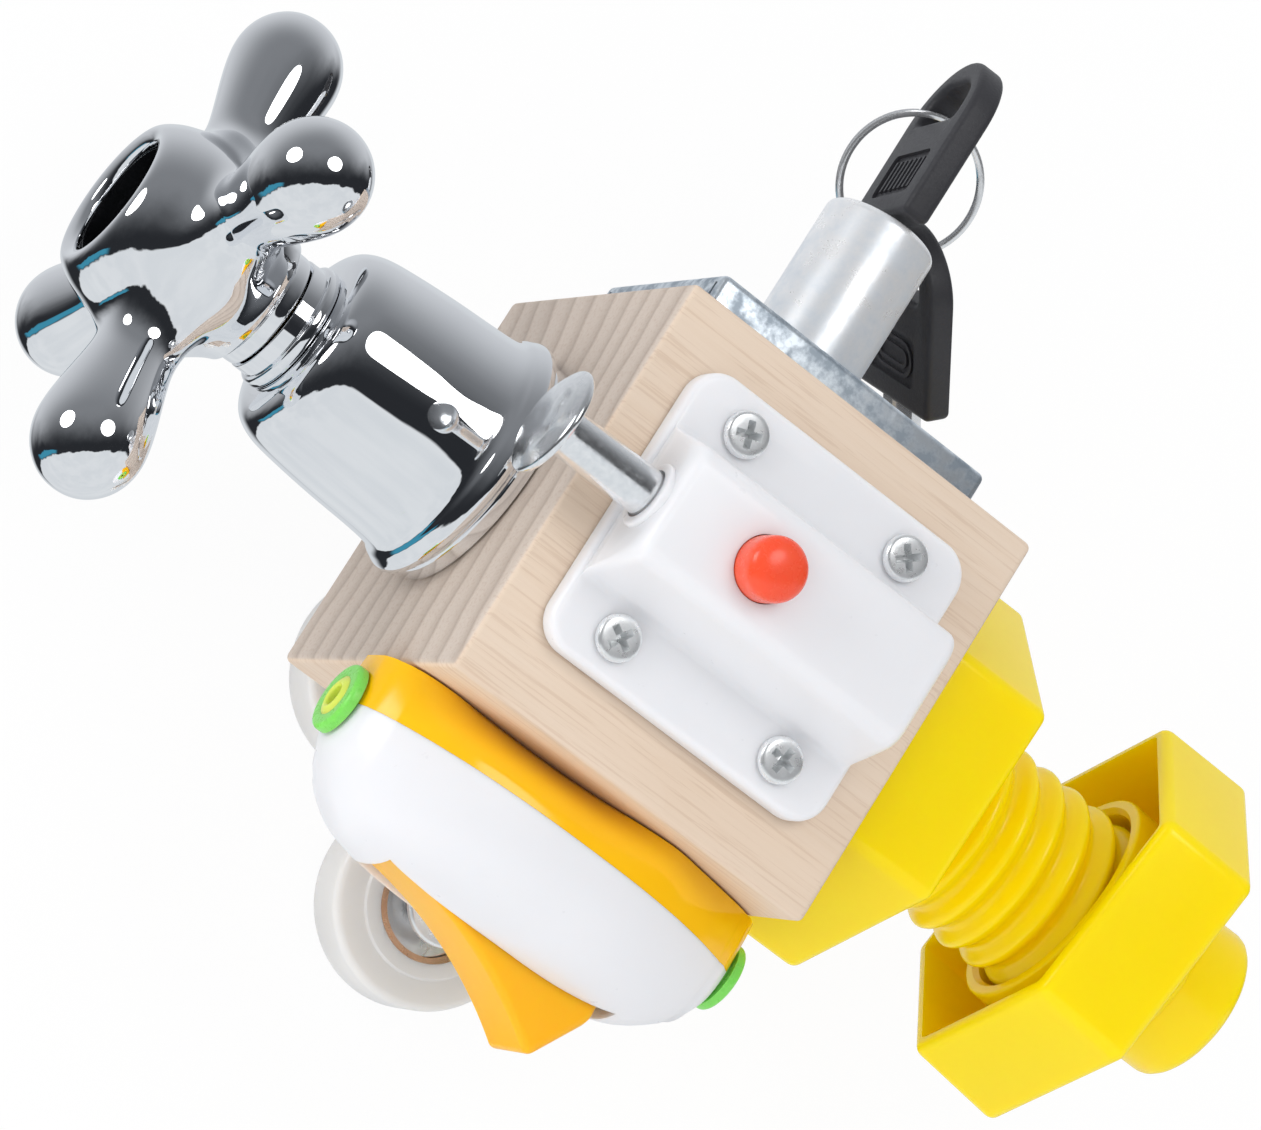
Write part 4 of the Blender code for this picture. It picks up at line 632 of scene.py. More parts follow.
FINISHES: dict[Look, Metal | Plastic | Pine] = {
    Look.PINE: Pine("sanded pine", early=(0.755, 0.615, 0.485), late=(0.665, 0.49, 0.343), patch=(0.775, 0.648, 0.53),
                    end=(0.64, 0.55, 0.473), end_late=(0.385, 0.306, 0.25), pore=(0.36, 0.18, 0.09), ring=0.0052,
                    pith=(0.0, -0.03, -0.085)),
    Look.CHROME: Metal("chrome plate", (0.93, 0.94, 0.955), (0.90, 0.91, 0.93), (0.012, 0.035), (90.0, 0.2),
                       scratches=0.06),
    # Near-black lining: painted shade inside the tap handle's mouth.
    Look.BORE: Metal("painted mouth shade", (0.035, 0.036, 0.040), (0.02, 0.021, 0.024), (0.35, 0.5), (300.0, 0.2)),
    Look.BRASS: Metal("turned brass", (0.78, 0.60, 0.30), (0.62, 0.46, 0.22), (0.22, 0.34), (200.0, 0.2),
                      (1500.0, 0.000004)),
    Look.ZINC: Metal("zinc plate", (0.96, 0.97, 0.97), (0.82, 0.84, 0.85), (0.24, 0.38), (900.0, 0.2),
                     (1700.0, 0.000006), 0.05, 0.75),
    Look.PIN: Metal("drawn pin", (0.96, 0.97, 0.98), (0.88, 0.90, 0.92), (0.14, 0.26), (1400.0, 0.15),
                    (2600.0, 0.000007), 0.05, 0.95),
    Look.TRAY: Metal("mottled zinc sheet", (0.80, 0.87, 0.93), (0.42, 0.49, 0.56), (0.30, 0.48), (460.0, 0.10),
                     scratches=0.1, metallic=0.85),
    Look.BARREL: Metal("satin zinc casting", (1.0, 1.0, 1.0), (0.84, 0.88, 0.92), (0.26, 0.40), (260.0, 0.14),
                       scratches=0.05, metallic=0.5),
    # Copper-tinted steel: painted reflection of the pine in the rollers' bearings.
    Look.WOOD_REFLECTION: Metal("painted pine reflection ring", (0.80, 0.50, 0.32), (0.62, 0.36, 0.22), (0.22, 0.34), (300.0, 0.2),
                       (1500.0, 0.000004)),
    Look.STEEL: Metal("bright steel", (0.94, 0.95, 0.96), (0.84, 0.85, 0.87), (0.18, 0.28), (350.0, 0.2),
                      metallic=0.8),
    Look.BLACK: Plastic("black plastic", (0.022, 0.022, 0.026), (0.034, 0.034, 0.040), (0.38, 0.55),
                        grain=(2600.0, 0.00003), sheen=0.05),
    Look.WHITE: Plastic("white plastic", (0.80, 0.803, 0.82), (0.785, 0.788, 0.806), (0.26, 0.34), 0.0012,
                        (1.0, 0.9, 0.85)),
    Look.RED: Plastic("red plastic", (0.90, 0.10, 0.034), (0.86, 0.085, 0.03), (0.24, 0.3), 0.0008,
                      (1.0, 0.25, 0.1), coat=0.15),
    Look.YELLOW: Plastic("yellow plastic", (1.0, 0.73, 0.0), (1.0, 0.695, 0.0), (0.20, 0.27), 0.0032,
                         (1.0, 0.85, 0.2), shine=0.35, subsurface=0.7),
    Look.ORANGE: Plastic("orange-yellow plastic", (1.0, 0.56, 0.004), (1.0, 0.51, 0.002), (0.12, 0.18), 0.0008,
                         (1.0, 0.8, 0.2), subsurface=0.2),
    Look.AMBER: Plastic("amber plastic", (1.0, 0.50, 0.008), (0.98, 0.46, 0.006), (0.28, 0.36), 0.0014,
                        (1.0, 0.5, 0.05), shine=0.35),
    Look.GREEN: Plastic("green plastic", (0.24, 0.72, 0.13), (0.20, 0.64, 0.10), (0.22, 0.34), 0.0012,
                        (0.5, 1.0, 0.3)),
    Look.LINER: Plastic("pale green plastic", (0.72, 0.84, 0.12), (0.66, 0.78, 0.10), (0.2, 0.3), 0.0012,
                        (0.8, 1.0, 0.3)),
    Look.NYLON: Plastic("nylon", (0.74, 0.735, 0.72), (0.71, 0.705, 0.69), (0.28, 0.38), 0.004, (1.0, 0.95, 0.85)),
}


class Workshop:
    """Makes the finishes once, and turns bmeshes into dressed pieces."""

    def __init__(self) -> None:
        """Build the shared effects and every finish."""
        effects = {
            "cloudy": effect("cloudy patches", {"Scale": 100.0, "Width": 0.25}, cloudy_mask),
            "scratches": effect("hairline scratches", {"Scale": SCRATCH_SCALE}, scratch_mask),
        }
        self.materials = {look: finish.make(effects) for look, finish in FINISHES.items()}

    def piece(self, bm: bmesh.types.BMesh, name: str, look: Look, body: str, nodes: Sequence[str] = (),
              matrix: Matrix | None = None, sharp: float = 35.0, levels: int = 0) -> bpy.types.Object:
        """Turn a bmesh into a finished piece.

        Args:
            bm: the form, freed here.
            name: the piece's name.
            look: its finish.
            body: the body that it rides on.
            nodes: the nodes that it replaces.
            matrix: where the form goes.
            sharp: the angle above which an edge stays crisp, in degrees.
            levels: how often the form is subdivided into a smooth surface.

        Returns:
            The piece's object, at the origin.
        """
        if matrix is not None:
            moved(bm, matrix)
        bmesh.ops.remove_doubles(bm, verts=bm.verts, dist=MERGE)
        bmesh.ops.recalc_face_normals(bm, faces=bm.faces)
        mesh = bpy.data.meshes.new(name)
        bm.to_mesh(mesh)
        bm.free()
        mesh.shade_smooth()
        mesh.set_sharp_from_angle(angle=math.radians(sharp))
        mesh.materials.append(self.materials[look])
        item = bpy.data.objects.new(name, mesh)
        bpy.context.scene.collection.objects.link(item)
        if levels:
            modifier = item.modifiers.new("smooth", "SUBSURF")
            modifier.levels = modifier.render_levels = levels
        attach(item, body)
        if nodes:
            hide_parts(*nodes)
        LOG.info("piece %s: %d faces", name, len(mesh.polygons))
        return item

    def dress(self, frame: dict, slots: dict[str, str]) -> None:
        """Give every node of the frame its finish."""
        for name, item in frame["nodes"].items():
            look = Look((slots[name], ""))
            item.data.materials.clear()
            item.data.materials.append(self.materials[look])
            LOG.info("node %s: %s", name, look.slot)


class Side(Enum):
    """The cube's faces: which way each points, and which way its own X runs."""

    TAP = ((-1, 0, 0), (0, 1, 0))
    LOCK = ((0, 1, 0), (1, 0, 0))
    LATCH = ((0, 0, 1), (1, 0, 0))
    BOLT = ((1, 0, 0), (0, 1, 0))
    SWITCH = ((0, -1, 0), (1, 0, 0))
    ROLLER = ((0, 0, -1), (1, 0, 0))

    def frame(self) -> Matrix:
        """Return the frame at the face's middle, with Z out of the wood."""
        outward, across = self.value
        low, high = (Vector(corner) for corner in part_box("wood_block"))
        return basis(across, outward, (low + high) / 2 + Vector(outward) * (high.x - low.x) / 2)


@dataclass
class Assembly:
    """What every sub-assembly has: the workshop that finishes its pieces."""

    shop: Workshop
    side: ClassVar[Side]

    @property
    def face(self) -> Matrix:
        """Return the frame of the cube's face that carries it."""
        return self.side.frame()

    def spot(self, node: str) -> Point:
        """Return the middle of a node in the face's own X and Y."""
        low, high = (Vector(corner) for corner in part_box(node))
        middle = self.face.inverted() @ ((low + high) / 2)
        return middle.x, middle.y

    def drive(self, node: str, name: str, height: float, degrees: float) -> None:
        """Set a cross-head screw.

        Args:
            node: the node that it replaces, at whose middle it stands.
            name: the piece's name.
            height: where its head's underside lies above the wood.
            degrees: how far its cross is turned.
        """
        place = self.face @ at(*self.spot(node), height) @ turn(degrees, "Z")
        self.shop.piece(CrossScrew().form(), name, Look.ZINC, "base", [node], place)


@dataclass
class CrossScrew:
    """A pan-head wood screw with a cross recess; its head's underside is at Z zero."""

    head: float = 0.0029
    height: float = 0.0011
    shank: float = 0.0012
    length: float = 0.0095
    point: float = 0.0020
    cross: float = 0.0019
    arm: float = 0.00052
    depth: float = 0.0019

    def form(self) -> bmesh.types.BMesh:
        """Return the screw."""
        head, top = self.head, self.height
        dome = smooth_line([(head, top * 0.35), (head * 0.985, top * 0.6), (head * 0.92, top * 0.85),
                            (head * 0.78, top * 0.96), (head * 0.5, top), (0, top)], 4)
        body = lathe([(0, -self.length), (self.shank, self.point - self.length), (self.shank, 0), (head, 0)] + dome, 48)
        far, near = self.cross, self.arm
        plus = [(far, -near), (far, near), (near, near), (near, far), (-near, far), (-near, near), (-far, near),
                (-far, -near), (-near, -near), (-near, -far), (near, -far), (near, -near)]
        recess = slab(plus, top - self.depth, top + CLEARANCE)
        bmesh.ops.scale(recess, verts=[vert for vert in recess.verts if vert.co.z < top - self.depth / 2],
                        vec=(0.4, 0.4, 1))
        return combine(body, recess)


@dataclass
class WoodBlock(Assembly):
    """The solid pine cube with its drilled holes."""

    edge: float = 0.0009
    pilot_depth: float = 0.0100
    tap_hole: tuple[float, float] = (0.0043, 0.0123)
    bolt_hole: tuple[float, float] = (0.0033, 0.0103)
    screws: tuple[tuple[Side, str], ...] = (
        (Side.LATCH, "latch_screw_1"), (Side.LATCH, "latch_screw_2"), (Side.LATCH, "latch_screw_3"),
        (Side.LATCH, "latch_screw_4"), (Side.LOCK, "lock_screw_1"), (Side.LOCK, "lock_screw_2"),
        (Side.SWITCH, "switch_screw_1"), (Side.SWITCH, "switch_screw_2"), (Side.ROLLER, "bracket_screw_1"),
        (Side.ROLLER, "bracket_screw_2"))

    def build(self) -> None:
        """Build the cube."""
        bm = round_edges(block(*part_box("wood_block")), self.edge, 5)
        holes = [(side, name, SCREW_BORE, self.pilot_depth) for side, name in self.screws]
        holes += [(Side.TAP, "tap_flange", *self.tap_hole), (Side.BOLT, "bolt_stud", *self.bolt_hole)]
        drills = []
        for side, name, radius, depth in holes:
            frame = side.frame()
            low, high = (Vector(corner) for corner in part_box(name))
            middle = frame.inverted() @ ((low + high) / 2)
            drills.append((rod(radius, -depth, 0.002, 32), frame @ at(middle.x, middle.y)))
        self.shop.piece(combine(bm, joined(drills)), "pine_cube", Look.PINE, "base", ["wood_block"])


@dataclass
class Tap(Assembly):
    """The tap: a rose on the wood, a bell-shaped cover, a collar and a cross handle with four arms."""

    side: ClassVar[Side] = Side.TAP
    rose: float = 0.0157
    rose_thickness: float = 0.0022
    rose_round: float = 0.0008
    tail_bore: float = 0.0043
    bell_height: float = 0.0270
    bell_lip: float = 0.0169
    bell_wall: float = 0.0012
    bell_shares: tuple[Point, ...] = (
        (0.94, 0.0), (0.99, 0.018), (1.0, 0.052), (0.962, 0.1), (0.912, 0.15), (0.888, 0.27), (0.868, 0.5),
        (0.838, 0.72), (0.805, 0.86), (0.745, 0.945), (0.66, 0.985), (0.54, 1.0))
    neck_bore: float = 0.0059
    collar: float = 0.0085
    collar_upper: float = 0.0078
    collar_share: float = 0.46
    collar_height: float = 0.0034
    hub: float = 0.0133
    hub_height: float = 0.0248
    hub_columns: int = 12
    hub_shrink: float = 0.9553
    hub_shares: tuple[Point, ...] = (
        (0.29, 0.0), (0.565, 0.0), (0.585, 0.010), (0.583, 0.082), (0.592, 0.090), (0.658, 0.096), (0.668, 0.125),
        (0.75, 0.195), (0.895, 0.295), (0.995, 0.508), (0.965, 0.745), (0.90, 0.865), (0.825, 0.935), (0.775, 0.968),
        (0.735, 0.985), (0.69, 0.99), (0.62, 0.975), (0.59, 0.96), (0.575, 0.92), (0.55, 0.62), (0.50, 0.605),
        (0.17, 0.605), (0.165, 0.52), (0.29, 0.51))
    arm_row: int = 9
    arm_angle: float = 18.0
    arm_height: float = 0.0126
    arm_shrink: float = 0.902
    arm_rings: tuple[Point, ...] = ((0.0154, 0.00495), (0.0185, 0.00535), (0.0225, 0.0062), (0.0265, 0.00695),
                                    (0.0300, 0.00715), (0.0332, 0.0060), (0.0356, 0.0036))
    arm_end: float = 0.0372
    mouth: tuple[Point, Point] = ((0.545, 0.64), (0.568, 0.925))
    # thickness of the mouth's painted-shade lining
    mouth_skin: float = 0.00015
    floor_share: float = 0.605
    cap_screw: float = 0.0040
    cap_height: float = 0.0022
    cap_shank: tuple[float, float] = (0.0019, 0.010)
    cap_slot: tuple[float, float] = (0.0009, 0.0011)

    def build(self) -> None:
        """Build the tap from the wood outwards."""
        foot = CLEARANCE + self.rose_thickness
        self.build_rose(foot)
        top = foot + CLEARANCE + self.bell_height
        self.build_bell(foot + SEAM, top)
        collar_top = top + CLEARANCE + self.collar_height
        self.build_collar(top + SEAM, collar_top + CLEARANCE / 2)
        self.build_handle(collar_top + CLEARANCE)

    def build_rose(self, top: float) -> None:
        """Build the flat ring against the wood."""
        edge = self.rose_round
        outer = self.rose
        profile = ([(self.tail_bore, CLEARANCE), (outer, CLEARANCE)] + arc((outer - edge, top - edge), edge, 0, 90)
                   + [(self.tail_bore, top)])
        self.shop.piece(lathe(profile), "tap_rose", Look.CHROME, "base", ["tap_flange"], self.face)

    def build_bell(self, foot: float, top: float) -> None:
        """Build the bell: a thin turned shell that is open towards the wood."""
        lip, wall, rise = self.bell_lip, self.bell_wall, top - foot
        outer = [(lip * radius, foot + rise * height) for radius, height in self.bell_shares]
        inner = [(lip * radius - wall, foot + (rise - wall) * height) for radius, height in self.bell_shares[:-1]]
        profile = (smooth_line(outer, 8) + [(self.neck_bore, top), (self.neck_bore, top - wall)]
                   + smooth_line(inner[::-1], 4))
        self.shop.piece(lathe(profile, 128), "tap_bell_cover", Look.CHROME, "base", ["tap_bell"], self.face)

    def build_collar(self, foot: float, top: float) -> None:
        """Build the collar: a wide ring on the bell and a narrower one under the handle."""
        waist = foot + (top - foot) * self.collar_share
        edge, small = 0.0005, 0.00015
        profile = ([(self.neck_bore, foot), (self.collar - edge, foot)]
                   + arc((self.collar - edge, foot + edge), edge, -80, 0, 5)
                   + arc((self.collar - edge, waist - edge), edge, 0, 80, 5)
                   + arc((self.collar_upper + small, waist + small), small, -100, -180, 4)
                   + arc((self.collar_upper - small, top - small), small, 0, 90, 4) + [(self.neck_bore, top)])
        self.shop.piece(lathe(profile), "tap_collar", Look.CHROME, "base", ["tap_gland_nut"], self.face)

    def build_handle(self, foot: float) -> None:
        """Build the handle as one smooth form that is drawn out into four arms, a dark lining of painted shade in its
        mouth, and the screw there.
        """
        step = 360 / self.hub_columns
        turns = [math.radians(self.arm_angle + step * column) for column in range(self.hub_columns)]
        loops = []
        for share, height in self.hub_shares:
            loops.append(level_ring(self.hub * share / self.hub_shrink, turns, foot + self.hub_height * height))
        bm = sweep(loops, closed=True)
        for arm in range(4):
            self.draw_arm(bm, loops, arm * self.hub_columns // 4, foot + self.arm_height)
        self.shop.piece(bm, "tap_cross_handle", Look.CHROME, "tap_knob", ["tap_handle"], self.face, 180, 3)
        # A thin near-black lining inside the mouth paints the shade in the handle's hollow.
        (inner, low), (outer, high) = ((self.hub * radius, foot + self.hub_height * height)
                                       for radius, height in self.mouth)
        passing, skin = self.cap_screw + CLEARANCE * 2, self.mouth_skin
        bore = lathe([(passing, low), (inner, low), (outer, high), (outer - skin, high),
                      (inner - skin, low + skin), (passing, low + skin)])
        self.shop.piece(bore, "tap_hub_painted_shade", Look.BORE, "tap_knob", (), self.face)
        floor = foot + self.hub_height * self.floor_share + CLEARANCE
        head, top = self.cap_screw, floor + self.cap_height
        shank, length = self.cap_shank
        screw = lathe([(0, floor - length), (shank, floor - length), (shank, floor), (head, floor)]
                      + smooth_line([(head, floor + 0.0008), (head * 0.9, top - 0.0005), (head * 0.5, top - 0.0001),
                                     (0, top)], 4), 48)
        width, depth = self.cap_slot
        slot = block((-head - OVERRUN, -width / 2, top - depth), (head + OVERRUN, width / 2, top + OVERRUN))
        self.shop.piece(combine(screw, slot), "tap_cap_screw", Look.ZINC, "tap_knob", ["tap_handle_screw"], self.face)

    def draw_arm(self, bm: bmesh.types.BMesh, loops: Sequence[Sequence[Vector]], column: int, height: float) -> None:
        """Draw one arm out of the four faces round a point of the hub.

        Args:
            bm: the handle's coarse form.
            loops: the hub's loops of points.
            column: the column that the arm stands on.
            height: the height of the arm's middle line.
        """
        turn = math.radians(self.arm_angle + 360 / self.hub_columns * column)
        out = Vector((math.cos(turn), math.sin(turn), 0))
        aside = Vector((-math.sin(turn), math.cos(turn), 0))
        steps = [(across, along) for across in (-1, 0, 1) for along in (-1, 0, 1)]
        spots = {(across, along): loops[self.arm_row + along][(column + across) % self.hub_columns]
                 for across, along in steps}
        verts = {key: min(bm.verts, key=lambda vert: (vert.co - spot).length_squared) for key, spot in spots.items()}
        chosen = set(verts.values())
        faces = [face for face in bm.faces if all(vert in chosen for vert in face.verts)]
        for number, (reach, radius) in enumerate(self.arm_rings):
            grown = bmesh.ops.extrude_face_region(bm, geom=faces)["geom"]
            bmesh.ops.delete(bm, geom=[face for face in faces if face.is_valid], context="FACES")
            faces = [item for item in grown if isinstance(item, bmesh.types.BMFace)]
            fresh = [item for item in grown if isinstance(item, bmesh.types.BMVert)]
            verts = {key: min(fresh, key=lambda vert: (vert.co - spot).length_squared)
                     for key, spot in spots.items()}
            for (across, along), vert in verts.items():
                span = math.hypot(across, along)
                wide = radius / self.arm_shrink / span if span else 0
                far = self.arm_end if not span and number == len(self.arm_rings) - 1 else reach
                vert.co = out * far + aside * (across * wide) + Vector((0, 0, height + along * wide))
            spots = {key: vert.co.copy() for key, vert in verts.items()}


class KeyMark(Enum):
    """The raised lines in a key head's sunk panel."""

    LINES = "straight lines"
    RINGS = "rings within each other"


@dataclass
class DrawerLock(Assembly):
    """The drawer lock with its key, the split ring and the spare key."""

    side: ClassVar[Side] = Side.LOCK
    case: tuple[float, float, float] = (0.0428, 0.0345, 0.0056)
    case_wall: float = 0.0010
    case_round: float = 0.0009
    case_shift: Point = (-0.0004, -0.0018)
    corner_slit: float = 0.0006
    door_half: float = 0.0083
    door_low: float = 0.0010
    door_high: float = 0.0040
    barrel: float = 0.00765
    barrel_height: float = 0.0226
    barrel_round: float = 0.0011
    barrel_shift: float = -0.0007
    plug: float = 0.0055
    key_angle: float = -4.0
    blade: tuple[float, float, float] = (0.0014, 0.0074, 0.0190)
    blade_tip: float = 0.0025
    blade_root: float = 0.0040
    notches: int = 4
    notch: float = 0.0016
    head_width: float = 0.0184
    head_foot: float = 0.0182
    head_length: float = 0.0242
    head_thickness: float = 0.0038
    head_round: float = 0.0010
    head_rim: float = 0.0035
    hole_height: float = 0.0058
    bridge: float = 0.0050
    panel_height: float = 0.0066
    panel_depth: float = 0.0005
    corner_round: float = 0.0009
    rib_share: float = 0.7
    rib_half: float = 0.00026
    ring_insets: tuple[float, ...] = (0.0008, 0.0020)
    cam: tuple[float, float, float] = (0.0012, 0.0013, 0.0035)
    stand_off: float = 0.0008
    ring: float = 0.00918
    wire: tuple[float, float] = (0.00046, 0.00027)
    wire_offset: float = 0.00028
    wire_turns: tuple[float, float] = (198.0, 882.0)
    crossing: tuple[float, float] = (525.0, 30.0)
    ring_lift: float = 0.00235
    ring_side: float = 0.0047
    ring_normal: tuple[float, float, float] = (-0.024, -0.937, -0.349)
    ring_hang: tuple[float, float, float] = (0.260, 0.331, -0.907)
    spare_turn: float = 21.35
    spare_down: tuple[float, float, float] = (0.643, 0.367, -0.672)
    spare_side: tuple[float, float, float] = (0.276, -0.930, -0.243)
    spare_slack: float = 0.00125
    spare_offset: float = 0.0007

    def build(self) -> None:
        """Build the lock, then what hangs on it."""
        top = CLEARANCE + self.case[2]
        self.build_case(top)
        barrel_top = top + CLEARANCE + self.barrel_height
        self.build_barrel(top, barrel_top)
        for number in (1, 2):
            self.drive(f"lock_screw_{number}", f"lock_case_screw_{number}", top + CLEARANCE, 25 + 40 * number)
        stand = self.face @ at(self.barrel_shift, 0) @ turn(self.key_angle, "Z") @ at(0, 0, barrel_top + self.stand_off)
        self.build_key("key", "key", stand, KeyMark.LINES)
        self.build_ring_and_spare(stand)

    def build_case(self, top: float) -> None:
        """Build the shallow folded case with its open corners, bores and the tongue's door."""
        half_x, half_y = self.case[0] / 2, self.case[1] / 2
        bm = round_edges(block((-half_x, -half_y, CLEARANCE), (half_x, half_y, top)), self.case_round, 4,
                         keep=lambda edge: max(vert.co.z for vert in edge.verts) > top - 0.0001)
        wall = self.case_wall
        bm = combine(bm, block((wall - half_x, wall - half_y, -OVERRUN), (half_x - wall, half_y - wall, top - wall)))
        slits = []
        for x in (-1, 1):
            for y in (-1, 1):
                low = (half_x - wall * 2, -self.corner_slit / 2, -OVERRUN)
                high = (half_x + OVERRUN, self.corner_slit / 2, top - wall * 1.2)
                slits.append((block(low, high), at(0, y * (half_y - wall * 1.6)) @ turn(0 if x > 0 else 180, "Z")))
        bm = moved(combine(bm, joined(slits)), at(*self.case_shift))
        bm = combine(bm, block((-self.door_half, 0, self.door_low), (self.door_half, half_y + 0.005, self.door_high)))
        bores = [(rod(self.plug + CLEARANCE, 0, top + OVERRUN, 96), at(self.barrel_shift, 0))]
        bores += [(rod(SCREW_BORE, 0, top + OVERRUN, 32), at(*self.spot(f"lock_screw_{number}"))) for number in (1, 2)]
        self.shop.piece(combine(bm, joined(bores)), "lock_case", Look.TRAY, "base", ["lock_tray"], self.face)

    def build_barrel(self, foot: float, top: float) -> None:
        """Build the round barrel and the plug with its key slot and cam pin."""
        bore, edge = self.plug + CLEARANCE, self.barrel_round
        profile = ([(bore, foot + CLEARANCE), (self.barrel, foot + CLEARANCE)]
                   + arc((self.barrel - edge, top - edge), edge, 0, 90, 8)
                   + [(bore + 0.0003, top), (bore, top - 0.0003)])
        place = self.face @ at(self.barrel_shift, 0)
        self.shop.piece(lathe(profile, 128), "lock_cylinder", Look.BARREL, "base", ["lock_barrel"], place)
        low, high = foot - self.case_wall - 0.0006, top - 0.0006
        core = lathe([(0, low), (self.plug, low), (self.plug, high - 0.0004), (self.plug - 0.0004, high), (0, high)])
        half_x, half_y = self.blade[0] / 2 + CLEARANCE, self.blade[1] / 2 + CLEARANCE
        slot = block((-half_x, -half_y, top + self.stand_off - self.blade[2] - CLEARANCE),
                     (half_x, half_y, top + OVERRUN))
        radius, tip, throw = self.cam
        pin = moved(rod(radius, tip, low + CLEARANCE, 24), at(0, -throw))
        core = combine(combine(core, slot), pin, "UNION")
        self.shop.piece(core, "lock_core", Look.STEEL, "plug", ["lock_plug"], place @ turn(self.key_angle, "Z"))

    def build_key(self, body: str, prefix: str, stand: Matrix, mark: KeyMark) -> None:
        """Build one key: the blade and its moulded head.

        Args:
            body: the body that the key rides on.
            prefix: the start of its nodes' names.
            stand: the frame at the middle of the head's foot.
            mark: the raised lines on the head.
        """
        thick, width, length = self.blade
        half = width / 2
        outline = [(half, self.blade_root), (-half, self.blade_root), (-half, self.blade_tip - length), (0, -length)]
        pitch = (length - self.blade_tip) / (self.notches + 2)
        for number in range(self.notches):
            middle = self.blade_tip - length + pitch * (number + 1)
            outline += [(half, middle - pitch / 3), (half - self.notch, middle), (half, middle + pitch / 3)]
        blade = slab(outline, -thick / 2, thick / 2)
        for level in (-1, 1):
            low, high = sorted((level * (thick / 2 - 0.0003), level * thick))
            groove = block((-half * 0.35, -length - OVERRUN, low), (half * 0.1, self.blade_root / 2, high))
            blade = combine(blade, groove)
        self.shop.piece(blade, f"{prefix}_shank", Look.STEEL, body, [f"{prefix}_blade"], stand @ STAND)
        self.shop.piece(self.key_head(mark), f"{prefix}_grip", Look.BLACK, body, [f"{prefix}_head"], stand @ STAND)

    def key_head(self, mark: KeyMark) -> bmesh.types.BMesh:
        """Return a head with its ring hole, sunk panels, raised lines and the blade's pocket."""
        radius, thick, foot = self.head_width / 2, self.head_thickness / 2, self.head_foot / 2
        crown = arc((0, self.head_length - radius), radius, 0, 180, 48)
        head = slab([(-foot, 0), (foot, 0)] + crown, -thick, thick)
        reach = radius - self.head_rim
        high = self.head_length - self.head_rim
        low = high - self.hole_height
        bend = min(reach, self.hole_height) * 2 / 3
        small = self.corner_round
        hole = (arc((reach - bend, high - bend), bend, 0, 90) + arc((bend - reach, high - bend), bend, 90, 180)
                + arc((small - reach, low + small), small, 180, 270, 4)
                + arc((reach - small, low + small), small, 270, 360, 4))
        head = round_edges(combine(head, slab(hole, -thick * 2, thick * 2)), self.head_round, 5, 60)
        side = foot - self.head_rim
        panel_top = low - self.bridge
        panel_foot = panel_top - self.panel_height
        middle = (panel_top + panel_foot) / 2
        for level in (-1, 1):
            below, above = sorted((level * (thick - self.panel_depth), level * thick * 2))
            outline = [(x, y + middle) for x, y in round_rectangle(side * 2, self.panel_height, small, 4)]
            head = combine(head, slab(outline, below, above))
            ribs = self.straight_ribs(side) if mark is KeyMark.LINES else self.ring_ribs(side)
            place = at(0, middle, level * (thick - self.panel_depth))
            head = combine(head, joined((self.both_ways(rib), place) for rib in ribs), "UNION")
        half = (self.blade[0] / 2 + CLEARANCE, self.blade[1] / 2 + CLEARANCE)
        return combine(head, block((-half[1], -OVERRUN, -half[0]), (half[1], self.blade_root + CLEARANCE, half[0])))

    @property
    def rib_height(self) -> float:
        """Return how far a raised line stands out of its panel."""
        return self.panel_depth * self.rib_share

    def straight_ribs(self, side: float) -> list[bmesh.types.BMesh]:
        """Return low bars that run from the panel's foot to its top."""
        bars = []
        for step in range(-3, 4):
            x = side * step / 4
            length = self.panel_height / 2 - 0.0010
            bars.append(block((x - self.rib_half, -length, -0.0002), (x + self.rib_half, length, self.rib_height)))
        return bars

    def ring_ribs(self, side: float) -> list[bmesh.types.BMesh]:
        """Return low oval rings within each other."""
        rings = []
        for inset in self.ring_insets:
            length, width = (side - inset) * 2, self.panel_height - inset * 2
            outer = round_rectangle(length, width, width / 2 - 0.00001, 10)
            inner = round_rectangle(length - 0.0010, width - 0.0010, width / 2 - 0.00051, 10)
            rings.append(combine(slab(outer, -0.0002, self.rib_height), slab(inner, -OVERRUN, OVERRUN)))
        return rings

    def both_ways(self, bm: bmesh.types.BMesh) -> bmesh.types.BMesh:
        """Make a rib as deep as it is high, so that it stands on either side of a head."""
        for vert in bm.verts:
            if vert.co.z < 0:
                vert.co.z = -self.rib_height
        return bm

